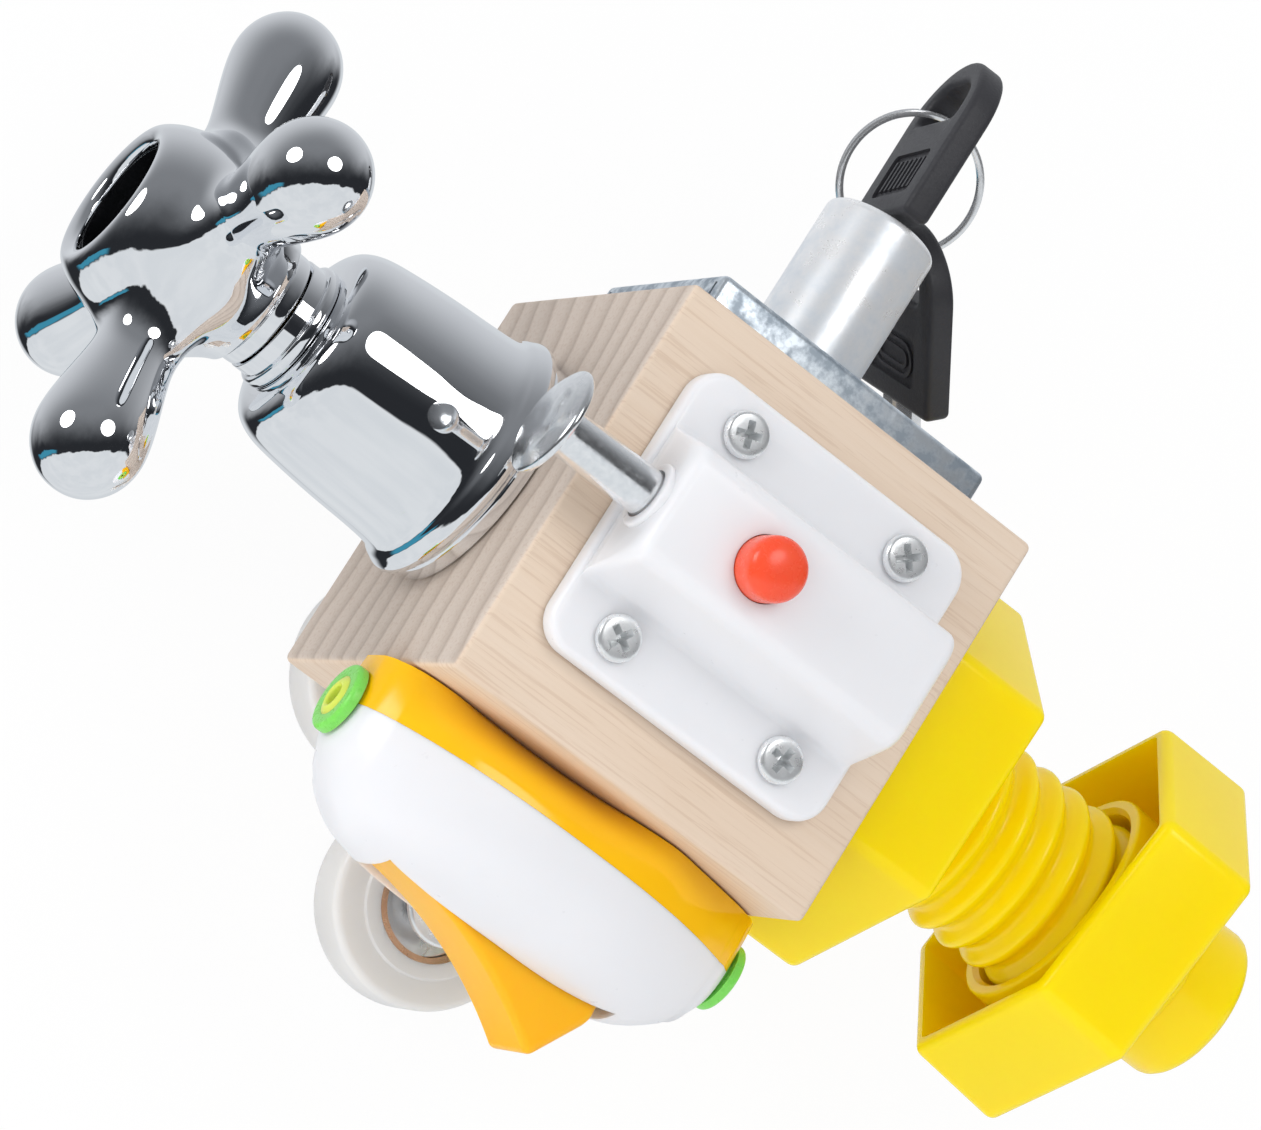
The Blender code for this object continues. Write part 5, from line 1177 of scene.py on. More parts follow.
    def build_ring_and_spare(self, stand: Matrix) -> None:
        """Build the split ring through the key's head, and the spare key that hangs on it."""
        to_world = self.face.to_3x3()
        normal = (to_world @ Vector(self.ring_normal)).normalized()
        hang = to_world @ Vector(self.ring_hang)
        hang = (hang - normal * hang.dot(normal)).normalized()
        hole_middle = self.head_length - self.head_rim - self.hole_height / 2
        passing = stand @ Vector((0, self.ring_side, hole_middle - self.hole_height / 2 + self.ring_lift))
        centre = passing + hang * self.ring
        frame = Matrix.Translation(centre) @ Matrix((hang, normal.cross(hang), normal)).transposed().to_4x4()
        loops = []
        (first, last), steps = self.wire_turns, 150
        crossing, span = self.crossing
        for step in range(steps + 1):
            angle = first + (last - first) * step / steps
            share = clamped((angle - crossing) / span)
            lift = self.wire_offset * (2 * share * share * (3 - 2 * share) - 1)
            rad = math.radians(angle)
            spoke = Vector((math.cos(rad), math.sin(rad), 0))
            middle = spoke * self.ring + Vector((0, 0, lift))
            loops.append([middle + spoke * (self.wire[0] * math.cos(a)) + Vector((0, 0, self.wire[1] * math.sin(a)))
                          for a in (math.tau * side / 10 for side in range(10))])
        self.shop.piece(sweep(loops), "split_ring", Look.STEEL, "ring", ["key_ring"], frame)
        seat = turn(self.spare_turn, "Z") @ Vector((self.ring, 0, 0))
        up = -(to_world @ Vector(self.spare_down)).normalized()
        aside = to_world @ Vector(self.spare_side)
        aside = (aside - up * aside.dot(up)).normalized()
        pose = Matrix((aside.cross(up), aside, up)).transposed().to_4x4()
        hole_top = hole_middle + self.hole_height / 2 - self.spare_slack
        spare = Matrix.Translation(frame @ seat) @ pose @ at(0, self.spare_offset, -hole_top)
        self.build_key("spare_key", "spare_key", spare, KeyMark.RINGS)


@dataclass
class PushLatch(Assembly):
    """The push latch: a white body with a ridge, the pin that slides through it and the red button."""

    side: ClassVar[Side] = Side.LATCH
    shift: Point = (-0.0003, 0.0007)
    plate: tuple[float, float, float] = (0.0429, 0.0393, 0.0027)
    plate_corner: float = 0.0044
    plate_round: float = 0.0010
    ridge_length: float = 0.0415
    ridge_height: float = 0.0143
    ridge_crest: float = 0.0083
    ridge_round: float = 0.0030
    ridge_side: tuple[Point, ...] = ((0.0117, 0.0024), (0.0116, 0.0029), (0.0109, 0.0031), (0.0103, 0.0036),
                                     (0.0099, 0.0048), (0.0093, 0.0078), (0.0086, 0.0106))
    end_slope: float = 0.0018
    pin: float = 0.0030
    pin_height: float = 0.0088
    pin_back: float = 0.00075
    pin_reach: float = 0.0140
    pin_head: float = 0.0071
    pin_head_thickness: float = 0.0030
    chamber: float = 0.0042
    chamber_length: float = 0.0183
    mouth: float = 0.0044
    mouth_proud: float = 0.0007
    button: float = 0.0040
    button_shift: float = -0.0059
    button_proud: float = 0.0026
    button_dome: float = 0.0025
    button_leg: float = 0.0084
    button_travel: float = 0.0018

    def build(self) -> None:
        """Build the latch's body, then what moves in it."""
        place = self.face @ at(*self.shift)
        self.build_body(place)
        self.build_pin(place)
        self.build_button(place)
        for number in range(1, 5):
            self.drive(f"latch_screw_{number}", f"latch_case_screw_{number}", self.plate[2] + CLEARANCE * 2,
                       20 * number)

    def ridge_loop(self, x: float, drop: float) -> list[Vector]:
        """Return the ridge's outline at a place along it, lowered and narrowed by a drop."""
        edge = self.ridge_round
        top = arc((self.ridge_crest - edge, self.ridge_height - edge), edge, 12, 90, 9)
        half = smooth_line(list(self.ridge_side) + [top[0]], 4)[:-1] + top
        foot = self.ridge_side[1][1]
        points = []
        for y, z in half:
            share = clamped((z - foot) / (self.ridge_height - foot))
            points.append((y - drop / 2 * share, z - drop * share))
        return [Vector((x, y, z)) for y, z in points] + [Vector((x, -y, z)) for y, z in points[-2::-1]]

    def build_body(self, place: Matrix) -> None:
        """Build the plate and the ridge, with the bores for the pin and the button."""
        length, width, thick = self.plate
        top = CLEARANCE + thick
        plate = round_edges(slab(round_rectangle(length, width, self.plate_corner, 12), CLEARANCE, top),
                            self.plate_round, 5, 40, lambda edge: min(vert.co.z for vert in edge.verts) > top - 0.0001)
        ends = []
        for step in range(7):
            rise = math.radians(15 * step)
            ends.append((self.ridge_length / 2 - self.end_slope * (1 - math.cos(rise)),
                         self.ridge_round * 0.85 * (1 - math.sin(rise))))
        loops = [self.ridge_loop(-x, drop) for x, drop in ends] + [self.ridge_loop(x, drop) for x, drop in ends[::-1]]
        body = combine(plate, sweep(loops), "UNION")
        pin_line = at(0, 0, self.pin_height) @ turn(90, "Y")
        end = self.ridge_length / 2
        mouth = lathe([(self.pin, -end - self.mouth_proud), (self.mouth - 0.0004, -end - self.mouth_proud)]
                      + arc((self.mouth - 0.0004, 0.0004 - end - self.mouth_proud), 0.0004, -90, 0, 4)
                      + [(self.mouth, 0.002 - end), (self.pin, 0.002 - end)], 64)
        body = combine(body, moved(mouth, pin_line), "UNION")
        floor = self.ridge_height - self.button_leg - self.button_travel - CLEARANCE * 2
        well = rod(self.button + CLEARANCE / 3, floor, self.ridge_height + OVERRUN, 64)
        body = combine(body, moved(well, at(self.button_shift, 0)))
        for radius, low, high in ((self.pin + CLEARANCE, -length, 0.0),
                                  (self.chamber, -self.pin_back - 0.002, self.chamber_length)):
            body = combine(body, moved(rod(radius, low, high, 64), pin_line))
        holes = []
        for number in range(1, 5):
            x, y = self.spot(f"latch_screw_{number}")
            holes.append((rod(SCREW_BORE, -OVERRUN, top + OVERRUN, 32), at(x - self.shift[0], y - self.shift[1])))
        self.shop.piece(combine(body, joined(holes)), "latch_case", Look.WHITE, "base", ["latch_housing"], place)

    def build_pin(self, place: Matrix) -> None:
        """Build the round pin with its thin flared head."""
        neck = self.ridge_length / 2 + self.pin_reach
        end = neck + self.pin_head_thickness
        head, rim = self.pin_head, 0.00055
        flare = smooth_line([(self.pin, neck - 0.0012), (self.pin * 1.12, neck - 0.0002),
                             (self.pin * 1.6, neck + 0.0003), (head - rim * 1.5, neck + 0.0006)], 5)
        face = smooth_line([(head - rim * 1.4, neck + 0.0019), (head * 0.66, end - 0.0004), (head * 0.33, end),
                            (0, end)], 5)
        back = -self.pin_back
        profile = ([(0, back), (self.pin - 0.0004, back), (self.pin, back + 0.0004)] + flare
                   + arc((head - rim, neck + 0.0006 + rim), rim, -80, 70, 7) + face)
        self.shop.piece(lathe(profile), "latch_bolt", Look.PIN, "pin", ["latch_pin"],
                        place @ at(0, 0, self.pin_height) @ turn(-90, "Y"))

    def build_button(self, place: Matrix) -> None:
        """Build the domed button with the fork that straddles the pin."""
        shoulder = self.ridge_height + self.button_proud
        dome = [(self.button * math.cos(rise) ** 0.8, shoulder + self.button_dome * math.sin(rise) ** 0.8)
                for rise in (math.radians(7.5 * step) for step in range(12))]
        foot = self.ridge_height - self.button_leg
        button = lathe([(0, foot), (self.button, foot)] + dome + [(0, shoulder + self.button_dome)])
        fork = self.pin + CLEARANCE
        slot = block((-self.button - OVERRUN, -fork, foot - OVERRUN),
                     (self.button + OVERRUN, fork, self.pin_height + self.pin + self.button_travel + CLEARANCE))
        self.shop.piece(combine(button, slot), "latch_push_button", Look.RED, "button", ["latch_button"],
                        place @ at(self.button_shift, 0))


@dataclass
class ToyBolt(Assembly):
    """The big toy bolt with its coarse thread, and the nut on it."""

    side: ClassVar[Side] = Side.BOLT
    shift: float = 0.0006
    hexagon: float = 0.0270
    height: float = 0.0152
    rounding: float = 0.0013
    angle: float = 4.0
    hollow: tuple[float, float, float] = (0.0085, 0.0200, 0.0125)
    crest: float = 0.0129
    root: float = 0.0114
    pitch: float = 0.0044
    thread: float = 0.0400
    thread_sides: int = 72
    steps_per_pitch: int = 12
    end: float = 0.0108
    end_length: float = 0.0112
    end_dome: float = 0.0034
    well: tuple[float, float] = (0.0033, 0.0103)
    nut: float = 0.0268
    nut_taper: float = 0.0003
    nut_height: float = 0.0144
    nut_wall: float = 0.0017
    nut_web: float = 0.0024
    boss: float = 0.0158
    boss_recess: float = 0.0020
    bore_slack: float = 0.0009
    bore_ease: float = 0.0006
    nut_stand: float = 0.0445
    nut_angle: float = 7.0
    nut_tilt_y: float = -4.2
    nut_tilt_z: float = -4.6

    def build(self) -> None:
        """Build the bolt and the nut."""
        place = self.face @ at(self.shift, 0)
        bolt = slab(self.six(self.hexagon, self.angle), CLEARANCE, self.height)
        bolt = round_edges(bolt, self.rounding, 6)
        inner, outer, deep = self.hollow
        bolt = combine(bolt, lathe([(inner, -OVERRUN), (outer, -OVERRUN), (outer, deep), (inner, deep)]))
        bolt = combine(bolt, self.shank(), "UNION")
        bolt = combine(bolt, rod(self.well[0], -OVERRUN, self.well[1], 32))
        self.shop.piece(bolt, "bolt_form", Look.YELLOW, "base", ["toy_bolt"], place)
        self.build_nut()

    def six(self, radius: float, angle: float) -> list[Point]:
        """Return a hexagon's corners."""
        turns = [math.radians(angle + 60 * side) for side in range(6)]
        return [(radius * math.cos(turn), radius * math.sin(turn)) for turn in turns]

    def shank(self) -> bmesh.types.BMesh:
        """Return the threaded shank with its plain domed end."""
        turns = [math.tau * side / self.thread_sides for side in range(self.thread_sides)]
        low, high = self.height, self.height + self.thread
        count = round(self.thread / self.pitch * self.steps_per_pitch)
        loops = []
        for z in [low - 0.0026] + [low + self.thread * step / count for step in range(count + 1)]:
            fade = clamped((z - low) / self.pitch, (high - z) / self.pitch)
            loop = []
            for angle in turns:
                wave = (1 - math.cos(math.tau * z / self.pitch - angle)) / 2
                radius = self.root + (self.crest - self.root) * wave * fade
                loop.append(Vector((radius * math.cos(angle), radius * math.sin(angle), z)))
            loops.append(loop)
        tip = high + self.end_length
        rounds = smooth_line([(self.root, high + 0.0002), (self.end * 1.01, high + 0.0009), (self.end, high + 0.0016),
                              (self.end, tip - self.end_dome)], 4)
        rounds += [(self.end * math.cos(rise), tip - self.end_dome * (1 - math.sin(rise)))
                   for rise in (math.radians(9 * step) for step in range(1, 10))] + [(0, tip)]
        loops += [level_ring(radius, turns, z) for radius, z in rounds]
        return sweep(loops)

    def build_nut(self) -> None:
        """Build the nut: a hexagonal shell with a web at its far side and a round boss about the bore."""
        half = self.nut_height / 2
        loops = [[Vector((x, y, level)) for x, y in self.six(self.nut + grow, self.nut_angle)]
                 for level, grow in ((-half, -self.nut_taper), (half, self.nut_taper))]
        nut = round_edges(sweep(loops), self.rounding, 6)
        inner = self.nut - self.nut_taper - self.nut_wall / math.cos(math.pi / 6)
        hollow = round_edges(slab(self.six(inner, self.nut_angle), -half - 0.002, half - self.nut_web), 0.0009, 4)
        nut = combine(nut, hollow)
        boss = round_edges(rod(self.boss, self.boss_recess - half, half - self.nut_web / 2, 96), 0.0005, 4, 60)
        nut = combine(nut, boss, "UNION")
        bore, ease = self.crest + self.bore_slack, self.bore_ease
        wide = bore + ease
        hole = lathe([(0, -half - OVERRUN), (wide, -half - OVERRUN), (wide, self.boss_recess - half),
                      (bore, self.boss_recess - half + ease), (bore, half - ease), (wide, half),
                      (wide, half + OVERRUN), (0, half + OVERRUN)])
        nut = combine(nut, hole)
        low, high = (Vector(corner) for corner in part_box("wood_block"))
        middle = (low + high) / 2
        facing = self.face.to_3x3().to_4x4()
        stand = Vector(((high - low).x / 2 + self.nut_stand, self.shift, 0))
        frame = Matrix.Translation(middle + stand) @ turn(self.nut_tilt_z, "Z") @ turn(self.nut_tilt_y, "Y") @ facing
        self.shop.piece(nut, "nut_form", Look.YELLOW, "nut", ["toy_nut"], frame)


@dataclass
class RockerSwitch(Assembly):
    """The cord switch: an orange-yellow lower shell, a white cover, the rocker and a bush at each end."""

    side: ClassVar[Side] = Side.SWITCH
    shift: Point = (-0.00025, 0.0083)
    length: float = 0.0585
    width: float = 0.0310
    seam: float = 0.0072
    height: float = 0.0220
    wall: float = 0.0016
    places: tuple[float, ...] = (-0.5, -0.48, -0.44, -0.37, -0.28, -0.18, -0.08, 0.02, 0.12, 0.2, 0.28, 0.36, 0.43,
                                 0.48, 0.5)
    seam_shares: tuple[float, ...] = (0.30, 0.42, 0.55, 0.72, 0.87, 0.96, 1.0, 1.0, 0.98, 0.93, 0.84, 0.70, 0.53,
                                      0.40, 0.30)
    foot_shares: tuple[float, ...] = (0.26, 0.38, 0.50, 0.56, 0.52, 0.50, 0.52, 0.60, 0.76, 0.82, 0.72, 0.60, 0.48,
                                      0.36, 0.26)
    crest_shares: tuple[float, ...] = (0.56, 0.66, 0.80, 0.92, 0.975, 0.995, 1.0, 1.0, 1.0, 0.99, 0.965, 0.91, 0.79,
                                       0.66, 0.56)
    swell_shares: tuple[Point, ...] = ((0, 0), (0.45, 0.25), (0.78, 0.5), (0.95, 0.76), (1, 1))
    fullness: float = 2.5
    end_round: Point = (0.0032, 0.0014)
    rocker_shift: float = 0.0013
    rocker_half: float = 0.0149
    rocker_foot: float = 0.0165
    rocker_width: float = 0.0118
    rocker_height: float = 0.0092
    rocker_sag: float = 0.0021
    rocker_depth: float = 0.0034
    rocker_round: float = 0.0024
    rocker_tilt: float = 20.0
    pivot_height: float = 0.0165
    axle: float = 0.0014
    axle_half: float = 0.0096
    socket: tuple[float, float] = (0.0023, 0.0113)
    bush: float = 0.0046
    bush_neck: float = 0.0034
    bush_bore: float = 0.0020
    bush_flange: float = 0.0017

    def build(self) -> None:
        """Build the shells and what sits in them."""
        place = self.face @ at(*self.shift)
        lying = turn(90, "X")
        pivot = at(self.rocker_shift, 0, self.pivot_height)
        base, cover, hollow = self.shells()
        ends = joined([(rod(self.bush_neck + CLEARANCE, -self.wall * 2, 0.002, 48), self.end_place(side))
                       for side in (-1, 1)])
        screw_holes = []
        for number in (1, 2):
            x, y = self.spot(f"switch_screw_{number}")
            screw_holes.append((rod(SCREW_BORE, -0.002, self.seam, 24), at(x - self.shift[0], y - self.shift[1])))
        base = combine(combine(combine(base, hollow.copy()), ends.copy()), joined(screw_holes))
        cover = combine(combine(cover, hollow), ends)
        for radius, reach, operation in ((*self.socket, "UNION"),
                                         (self.axle + CLEARANCE, self.axle_half + CLEARANCE, "DIFFERENCE")):
            cover = combine(cover, moved(rod(radius, -reach, reach, 32), pivot @ lying), operation)
        tilt = math.radians(self.rocker_tilt)
        reach = self.rocker_half * math.cos(tilt) + self.rocker_height * math.sin(tilt) + CLEARANCE
        half = self.rocker_width / 2 + CLEARANCE
        window = block((-reach, -half, self.seam), (reach, half, self.height + 0.002))
        cover = combine(cover, moved(window, at(self.rocker_shift, 0)))
        self.shop.piece(base, "switch_lower_shell", Look.ORANGE, "base", ["switch_base"], place, 40)
        self.shop.piece(cover, "switch_upper_shell", Look.WHITE, "base", ["switch_cover"], place, 40)
        pin = round_edges(rod(self.axle, -self.axle_half, self.axle_half, 32), 0.0002, 2, 60)
        self.shop.piece(pin, "switch_axle", Look.STEEL, "base", ["rocker_pin"], place @ pivot @ lying)
        self.build_rocker(place @ pivot @ turn(-self.rocker_tilt, "Y") @ lying)
        for number, side in enumerate((-1, 1), 1):
            self.build_bush(number, place @ self.end_place(side))

    def end_place(self, side: int) -> Matrix:
        """Return the frame at the middle of one end, whose Z points out of the switch."""
        return at(side * self.length / 2, 0, self.seam) @ turn(side * 90, "Y")

    def stations(self, inset: float, along: float = 0, inward: float = 0) -> list[tuple[float, float, float, float]]:
        """Return sections along the shells.

        Args:
            inset: how far inside the outer surface they lie.
            along: the length over which the ends curve in.
            inward: how far they curve in.

        Returns:
            Each section's place, foot half width, seam half width and crest height.
        """
        rows = smooth_line(list(zip(self.places, self.foot_shares, self.seam_shares, self.crest_shares)), 6)
        half = self.width / 2
        sections = []
        for place, foot, seam, crest in rows:
            sections.append((place * (self.length - 2 * inset), half * foot - inset, half * seam - inset,
                             self.height * crest - inset))
        if not along:
            return sections
        ends = []
        for side in (-1, 1):
            tip = sections[0] if side < 0 else sections[-1]
            row = []
            for step in range(6):
                rise = math.radians(18 * step)
                take = inward * (1 - math.sin(rise))
                place = tip[0] - side * along * (1 - math.cos(rise))
                near = min(sections, key=lambda section: abs(section[0] - place))
                row.append((place, near[1] - take, near[2] - take, near[3] - take))
            ends.append(row)
        inner = [row for row in sections if abs(row[0]) < abs(sections[0][0]) - along]
        return ends[0] + inner + ends[1][::-1]

    def wall_points(self, foot: float, seam: float, low: float, high: float) -> list[Point]:
        """Return the lower shell's swelling side from its foot to the seam."""
        return smooth_line([(foot + (seam - foot) * swell, low + (high - low) * rise)
                            for swell, rise in self.swell_shares], 3)

    def arch_points(self, seam: float, low: float, high: float) -> list[Point]:
        """Return the cover's arch from one side of the seam to the other."""
        flat = 2 / self.fullness
        points = []
        for step in range(29):
            rise = math.pi * step / 28
            points.append((seam * math.copysign(abs(math.cos(rise)) ** flat, math.cos(rise)),
                           low + (high - low) * abs(math.sin(rise)) ** flat))
        return points

    def shells(self) -> tuple[bmesh.types.BMesh, bmesh.types.BMesh, bmesh.types.BMesh]:
        """Return the lower shell, the cover and the hollow that both share, all solid."""
        base, cover, hollow = [], [], []
        for x, foot, seam, crest in self.stations(0, *self.end_round):
            side = self.wall_points(foot, seam, CLEARANCE, self.seam - CLEARANCE / 15)
            base.append([Vector((x, y, z)) for y, z in side] + [Vector((x, -y, z)) for y, z in side[::-1]])
            cover.append([Vector((x, y, z)) for y, z in self.arch_points(seam, self.seam, crest)])
        for x, foot, seam, crest in self.stations(self.wall):
            side = self.wall_points(foot, seam, CLEARANCE + self.wall, self.seam)
            arch = self.arch_points(seam, self.seam, crest)
            hollow.append([Vector((x, -y, z)) for y, z in side[::-1]] + [Vector((x, y, z)) for y, z in side[:-1]]
                          + [Vector((x, y, z)) for y, z in arch[:-1]])
        return sweep(base), sweep(cover), sweep(hollow)

    def build_rocker(self, place: Matrix) -> None:
        """Build the rocker: a bar with a sagging top and rounded ends on its axle."""
        top = []
        for step in range(25):
            share = 1 - step / 12
            top.append((self.rocker_half * share, self.rocker_height - self.rocker_sag * (1 - share**2)))
        outline = top + [(-self.rocker_foot, 0), (-self.rocker_half, -self.rocker_depth),
                         (self.rocker_half, -self.rocker_depth), (self.rocker_foot, 0)]
        half = self.rocker_width / 2
        rocker = round_edges(slab(outline, -half, half), self.rocker_round, 6, 25)
        rocker = combine(rocker, rod(self.axle + CLEARANCE, -half - OVERRUN, half + OVERRUN, 32))
        self.shop.piece(rocker, "switch_rocking_key", Look.AMBER, "rocker", ["switch_rocker"], place)

    def build_bush(self, number: int, place: Matrix) -> None:
        """Build one end's soft green bush and the paler liner in its hole."""
        flange, soft = self.bush_flange, 0.0006
        bore = self.bush_bore + 0.0004
        profile = ([(bore, -self.wall), (self.bush_neck, -self.wall), (self.bush_neck, CLEARANCE),
                    (self.bush, CLEARANCE)] + arc((self.bush - soft, flange - soft), soft, 0, 90, 5)
                   + arc((bore + soft, flange - soft), soft, 90, 180, 5))
        self.shop.piece(lathe(profile, 64), f"cord_bush_{number}", Look.GREEN, "base", [f"switch_grommet_{number}"],
                        place)
        inner = 0.0014
        liner = ([(inner, -self.wall), (bore, -self.wall), (bore, flange - soft), (bore + 0.0004, flange - 0.0001)]
                 + arc((inner + 0.0004, flange - 0.0001), 0.0004, 60, 180, 5))
        self.shop.piece(lathe(liner, 64), f"cord_liner_{number}", Look.LINER, "base", (), place)


@dataclass
class TwinRoller(Assembly):
    """The twin roller: a flat bracket, two axles and two wheels on bearings."""

    side: ClassVar[Side] = Side.ROLLER
    thickness: float = 0.0016
    end: float = 0.0052
    foot: float = 0.0060
    bracket_round: float = 0.0004
    wheel: float = 0.0135
    width: float = 0.0090
    stand_off: float = 0.0046
    wheel_round: float = 0.0011
    step: float = 0.0096
    step_depth: float = 0.0004
    race: float = 0.0065
    race_bore: float = 0.0024
    race_width: float = 0.0050
    recess: float = 0.0015
    # the ring of painted pine reflection: its gap, width and depth
    reflection_band: tuple[float, float, float] = (0.0001, 0.0009, 0.0008)
    axle: float = 0.0020
    shoulder: float = 0.0034
    head: float = 0.0042
    head_height: float = 0.0014

    def build(self) -> None:
        """Build the bracket and both rollers."""
        wheels = [self.spot(f"roller_wheel_{number}") for number in (1, 2)]
        screws = [self.spot(f"bracket_screw_{number}") for number in (1, 2)]
        self.build_bracket(wheels, screws)
        for number, spot in enumerate(wheels, 1):
            self.build_roller(number, self.face @ at(*spot))
        for number in (1, 2):
            self.drive(f"bracket_screw_{number}", f"roller_plate_screw_{number}", self.thickness + CLEARANCE * 2,
                       35 * number)

    def build_bracket(self, wheels: Sequence[Point], screws: Sequence[Point]) -> None:
        """Build the plate that runs from screw to screw and out to both axles."""
        top = CLEARANCE + self.thickness
        bm = bmesh.new()
        for spots, radius in ((wheels, self.end), (screws, self.foot)):
            for x, y in spots:
                bmesh.ops.create_cone(bm, cap_ends=True, segments=48, radius1=radius, radius2=radius,
                                      depth=self.thickness, matrix=at(x, y, (top + CLEARANCE) / 2))
        hull = bmesh.ops.convex_hull(bm, input=bm.verts)
        kept = {item for item in hull["geom"] if isinstance(item, bmesh.types.BMFace)}
        bmesh.ops.delete(bm, geom=[face for face in bm.faces if face not in kept], context="FACES")
        bmesh.ops.delete(bm, geom=[vert for vert in bm.verts if not vert.link_faces], context="VERTS")
        bmesh.ops.dissolve_limit(bm, angle_limit=0.002, verts=bm.verts, edges=bm.edges)
        bmesh.ops.recalc_face_normals(bm, faces=bm.faces)
        round_edges(bm, self.bracket_round, 3, 60)
        holes = [(rod(radius, -OVERRUN, top + OVERRUN), at(x, y))
                 for spots, radius in ((wheels, self.axle + CLEARANCE), (screws, SCREW_BORE)) for x, y in spots]
        self.shop.piece(combine(bm, joined(holes)), "roller_plate", Look.ZINC, "base", ["roller_bracket"], self.face)

    def build_roller(self, number: int, place: Matrix) -> None:
        """Build one wheel, its bearing with a thin copper-tinted ring that paints the pine's reflection, and its axle.
        """
        near = CLEARANCE + self.stand_off
        far = near + self.width
        seat = near + self.recess
        race_far = seat + self.race_width
        rim, step, deep = self.wheel_round, self.step, self.step_depth
        bore, head_bore = self.race + CLEARANCE, self.head + CLEARANCE * 2
        ease = 0.0003
        wheel = ([(bore, near), (step - ease, near), (step, near + ease), (step + rim / 2, near + deep)]
                 + arc((self.wheel - rim, near + deep + rim), rim, -90, 0, 6)
                 + arc((self.wheel - rim, far - deep - rim), rim, 0, 90, 6)
                 + [(step + rim / 2, far - deep), (step, far - ease), (step - ease, far), (head_bore + ease, far),
                    (head_bore, far - ease), (head_bore, race_far + CLEARANCE), (bore, race_far + CLEARANCE)])
        self.shop.piece(lathe(wheel, 128), f"roller_tyre_{number}", Look.NYLON, f"wheel_{number}",
                        [f"roller_wheel_{number}"], place, 30)
        middle, shield = (self.race + self.race_bore) / 2, (self.race - self.race_bore) / 4
        groove = 0.0004
        race = [(self.race_bore, seat), (middle - shield, seat), (middle - shield, seat + groove),
                (middle + shield, seat + groove), (middle + shield, seat), (self.race, seat), (self.race, race_far),
                (self.race_bore, race_far)]
        self.shop.piece(lathe(race), f"roller_race_{number}", Look.STEEL, f"wheel_{number}",
                        [f"roller_bearing_{number}"], place)
        # A thin copper-tinted steel ring at the bearing's near face: painted reflection of the pine in the bearing.
        gap, wide, depth = self.reflection_band
        ring = [(self.race + gap, near - gap), (self.race + wide, near - gap), (self.race + wide, near + depth),
                (self.race + gap, near + depth)]
        self.shop.piece(lathe(ring), f"roller_pine_reflection_ring_{number}", Look.WOOD_REFLECTION, f"wheel_{number}", (), place)
        head, shoulder = race_far + CLEARANCE, CLEARANCE * 2 + self.thickness
        top = head + self.head_height
        dome = smooth_line([(self.head, head + 0.0004), (self.head * 0.9, top - 0.0003),
                            (self.head * 0.5, top - 0.00005), (0, top)], 4)
        axle = [(0, CLEARANCE), (self.axle, CLEARANCE), (self.axle, shoulder), (self.shoulder, shoulder),
                (self.shoulder, seat - CLEARANCE), (self.axle, seat - CLEARANCE), (self.axle, head), (self.head, head)]
        self.shop.piece(lathe(axle + dome, 64), f"roller_stud_{number}", Look.ZINC, "base", [f"roller_axle_{number}"],
                        place)


@dataclass(frozen=True)
class Lamp:
    """A soft round lamp, placed to the right, above and in front of the part as the camera sees it."""

    place: tuple[float, float, float]
    size: float
    power: float
    mirrored: bool = True


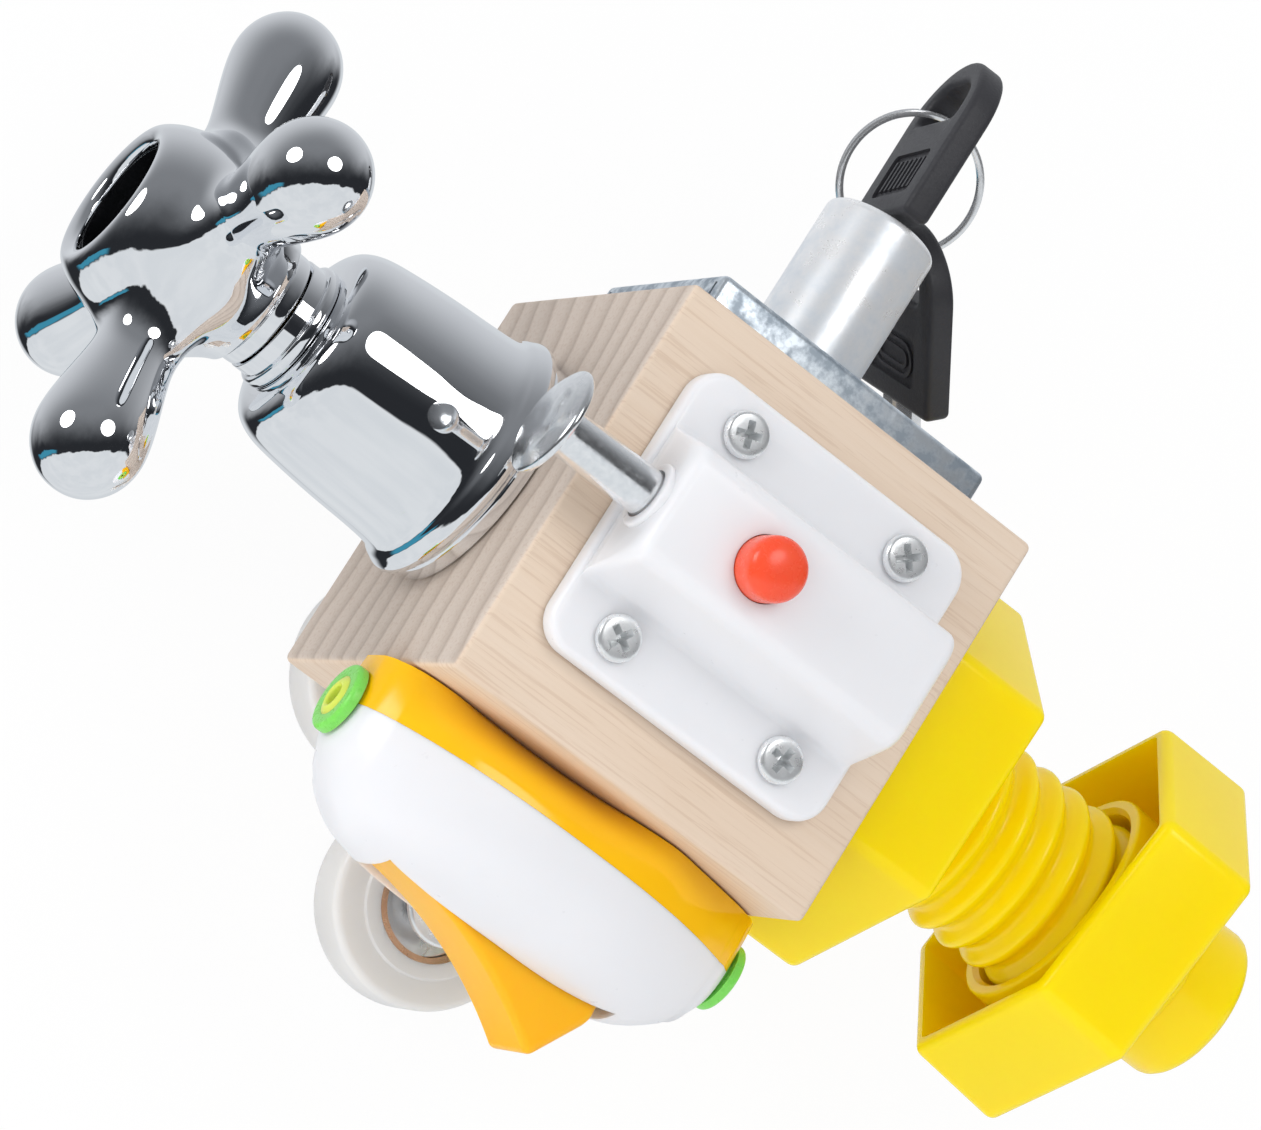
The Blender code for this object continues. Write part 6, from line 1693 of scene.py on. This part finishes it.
@dataclass
class Studio:
    """The pale floor, the soft lamps, the surrounding room and the camera at the photograph's view."""

    camera_place: tuple[float, float, float] = (-0.26854, -0.19216, 0.74404)
    camera_right: tuple[float, float, float] = (0.74935883, 0.5189015, 0.4113424)
    camera_up: tuple[float, float, float] = (-0.57025961, 0.8214604, 0.00260621)
    lens: float = 179.13
    sensor: float = 36.0
    floor_size: float = 6.0
    floor_drop: float = 0.0005
    floor_colour: Colour = (0.93, 0.93, 0.935)
    paper_share: float = 0.94
    daylight: tuple[Colour, float] = ((0.975, 0.98, 1.0), 0.82)
    wall: tuple[Colour, Colour] = ((0.022, 0.024, 0.028), (0.21, 0.22, 0.235))
    overhead: Colour = (0.62, 0.64, 0.67)
    stripe: Colour = (0.05, 0.27, 0.40)
    pale: tuple[Colour, Colour] = ((0.69, 0.72, 0.745), (0.74, 0.765, 0.785))
    behind: Colour = (0.66, 0.69, 0.72)
    aim: tuple[float, float, float] = (0.0, 0.0, 0.04)
    lamps: tuple[Lamp, ...] = (
        Lamp((-0.80, 0.75, 0.75), 0.62, 4.4),
        Lamp((0.75, 0.42, 0.95), 0.62, 3.1),
        Lamp((-0.8, -0.7, 0.7), 1.3, 5.2, mirrored=False),
    )

    def build(self) -> None:
        """Build the whole setting."""
        scene = bpy.context.scene
        scene.view_settings.view_transform = "Standard"
        self.build_camera(scene)
        self.build_floor()
        self.build_world(scene)
        for number, lamp in enumerate(self.lamps):
            self.build_lamp(f"lamp {number}", lamp)

    def turned(self) -> Matrix:
        """Return the camera's turn: X to the right of the picture, Y up, Z towards the camera."""
        right = Vector(self.camera_right).normalized()
        up = Vector(self.camera_up)
        up = (up - right * up.dot(right)).normalized()
        return Matrix((right, up, right.cross(up))).transposed()

    def build_camera(self, scene: bpy.types.Scene) -> None:
        """Place the camera."""
        data = bpy.data.cameras.new("camera")
        data.lens = self.lens
        data.sensor_width = self.sensor
        data.sensor_fit = "HORIZONTAL"
        data.clip_end = 20
        item = bpy.data.objects.new("camera", data)
        item.matrix_world = Matrix.Translation(self.camera_place) @ self.turned().to_4x4()
        scene.collection.objects.link(item)
        scene.camera = item

    def build_floor(self) -> None:
        """Lay the pale floor: white to the camera with some of the shadow, while gloss shows the room beyond."""
        bm = bmesh.new()
        bmesh.ops.create_grid(bm, x_segments=1, y_segments=1, size=self.floor_size / 2)
        mesh = bpy.data.meshes.new("floor")
        bm.to_mesh(mesh)
        bm.free()
        shade = Shade("pale floor")
        shade.feed(self.floor_colour, shade.shader.inputs["Base Color"])
        shade.shader.inputs["Roughness"].default_value = 0.9
        rays = shade.node("ShaderNodeLightPath").outputs
        paper = shade.node("ShaderNodeEmission").outputs["Emission"]
        clear = shade.node("ShaderNodeBsdfTransparent").outputs["BSDF"]
        share = shade.calculate("MULTIPLY", rays["Is Camera Ray"], self.paper_share)
        surface = shade.layer(share, shade.shader.outputs["BSDF"], paper)
        surface = shade.layer(rays["Is Glossy Ray"], surface, clear)
        shade.join(surface, shade.tree.nodes["Material Output"].inputs["Surface"])
        mesh.materials.append(shade.material)
        floor = bpy.data.objects.new("floor", mesh)
        bpy.context.scene.collection.objects.link(floor)
        floor.location.z = -self.floor_drop

    def build_world(self, scene: bpy.types.Scene) -> None:
        """Surround the part: white to the camera, even light on surfaces, and the room in gloss."""
        world = bpy.data.worlds.new("studio room")
        scene.world = world
        world.use_nodes = True
        world.node_tree.nodes.clear()
        nodes = Nodes(world.node_tree)
        rays = nodes.node("ShaderNodeLightPath").outputs
        backgrounds = []
        for colour, strength in (self.daylight, (self.room_colour(nodes), 1.0), ((1.0, 1.0, 1.0), 1.0)):
            item = nodes.node("ShaderNodeBackground")
            nodes.feed(colour, item.inputs["Color"])
            item.inputs["Strength"].default_value = strength
            backgrounds.append(item.outputs[0])
        daylight, room, white = backgrounds
        light = nodes.layer(rays["Is Glossy Ray"], daylight, room)
        seen = nodes.calculate("MAXIMUM", rays["Is Camera Ray"], rays["Is Transmission Ray"])
        output = nodes.node("ShaderNodeOutputWorld")
        nodes.join(nodes.layer(seen, light, white), output.inputs["Surface"])

    def room_colour(self, nodes: Nodes) -> bpy.types.NodeSocket:
        """Return the room's colour by direction, as the camera looks at it.

        It is pale low down. Above that stands a dark wall that grows paler upwards and up behind the part,
        with a blue stripe at the left. Straight behind the part it is pale.
        """
        place = nodes.node("ShaderNodeTexCoord").outputs["Generated"]
        apart = nodes.node("ShaderNodeSeparateXYZ")
        nodes.join(nodes.mapped(place, rotation=self.turned().inverted().to_euler()), apart.inputs[0])
        right, up, back = (apart.outputs[axis] for axis in "XYZ")
        noise = nodes.noise(place, 3.5, 3).outputs[0]
        height = nodes.calculate("MULTIPLY_ADD", noise, 0.22, up)
        dark = nodes.mix(nodes.ramp(height, -0.05, 0.95), *self.wall)
        overhead = nodes.calculate("MULTIPLY", nodes.ramp(back, 0.5, -0.95), nodes.ramp(height, 0.0, 0.5))
        dark = nodes.mix(overhead, dark, self.overhead)
        stripe = nodes.calculate("MULTIPLY", nodes.ramp(right, -0.83, -0.90), nodes.ramp(height, -0.24, -0.2))
        stripe = nodes.calculate("MULTIPLY", stripe, nodes.ramp(height, -0.08, -0.11))
        dark = nodes.mix(stripe, dark, self.stripe)
        pale = nodes.mix(nodes.ramp(noise, 0.35, 0.65), *self.pale)
        front = nodes.mix(nodes.ramp(height, -0.26, -0.22), pale, dark)
        return nodes.mix(nodes.ramp(back, -0.76, -0.92), front, self.behind)

    def build_lamp(self, name: str, lamp: Lamp) -> None:
        """Hang one lamp, turned towards the part."""
        data = bpy.data.lights.new(name, "AREA")
        data.shape = "DISK"
        data.size = lamp.size
        data.energy = lamp.power
        centre = Vector(self.aim)
        place = centre + self.turned() @ Vector(lamp.place)
        item = bpy.data.objects.new(name, data)
        item.visible_glossy = lamp.mirrored
        item.location = place
        item.rotation_mode = "QUATERNION"
        item.rotation_quaternion = (place - centre).to_track_quat("Z", "Y")
        bpy.context.scene.collection.objects.link(item)


def main() -> None:
    """Load the frame, dress it and build every sub-assembly and the setting."""
    logging.basicConfig(level=logging.INFO, format="%(name)s: %(message)s")
    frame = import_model()
    workshop = Workshop()
    slots = {entry["node"]: entry["material_slot"] for entry in frame["record"]["subparts"]}
    workshop.dress(frame, slots)
    for assembly in (WoodBlock, Tap, DrawerLock, PushLatch, ToyBolt, RockerSwitch, TwinRoller):
        LOG.info("building %s", assembly.__name__)
        assembly(workshop).build()
    Studio().build()


if __name__ == "__main__":
    main()
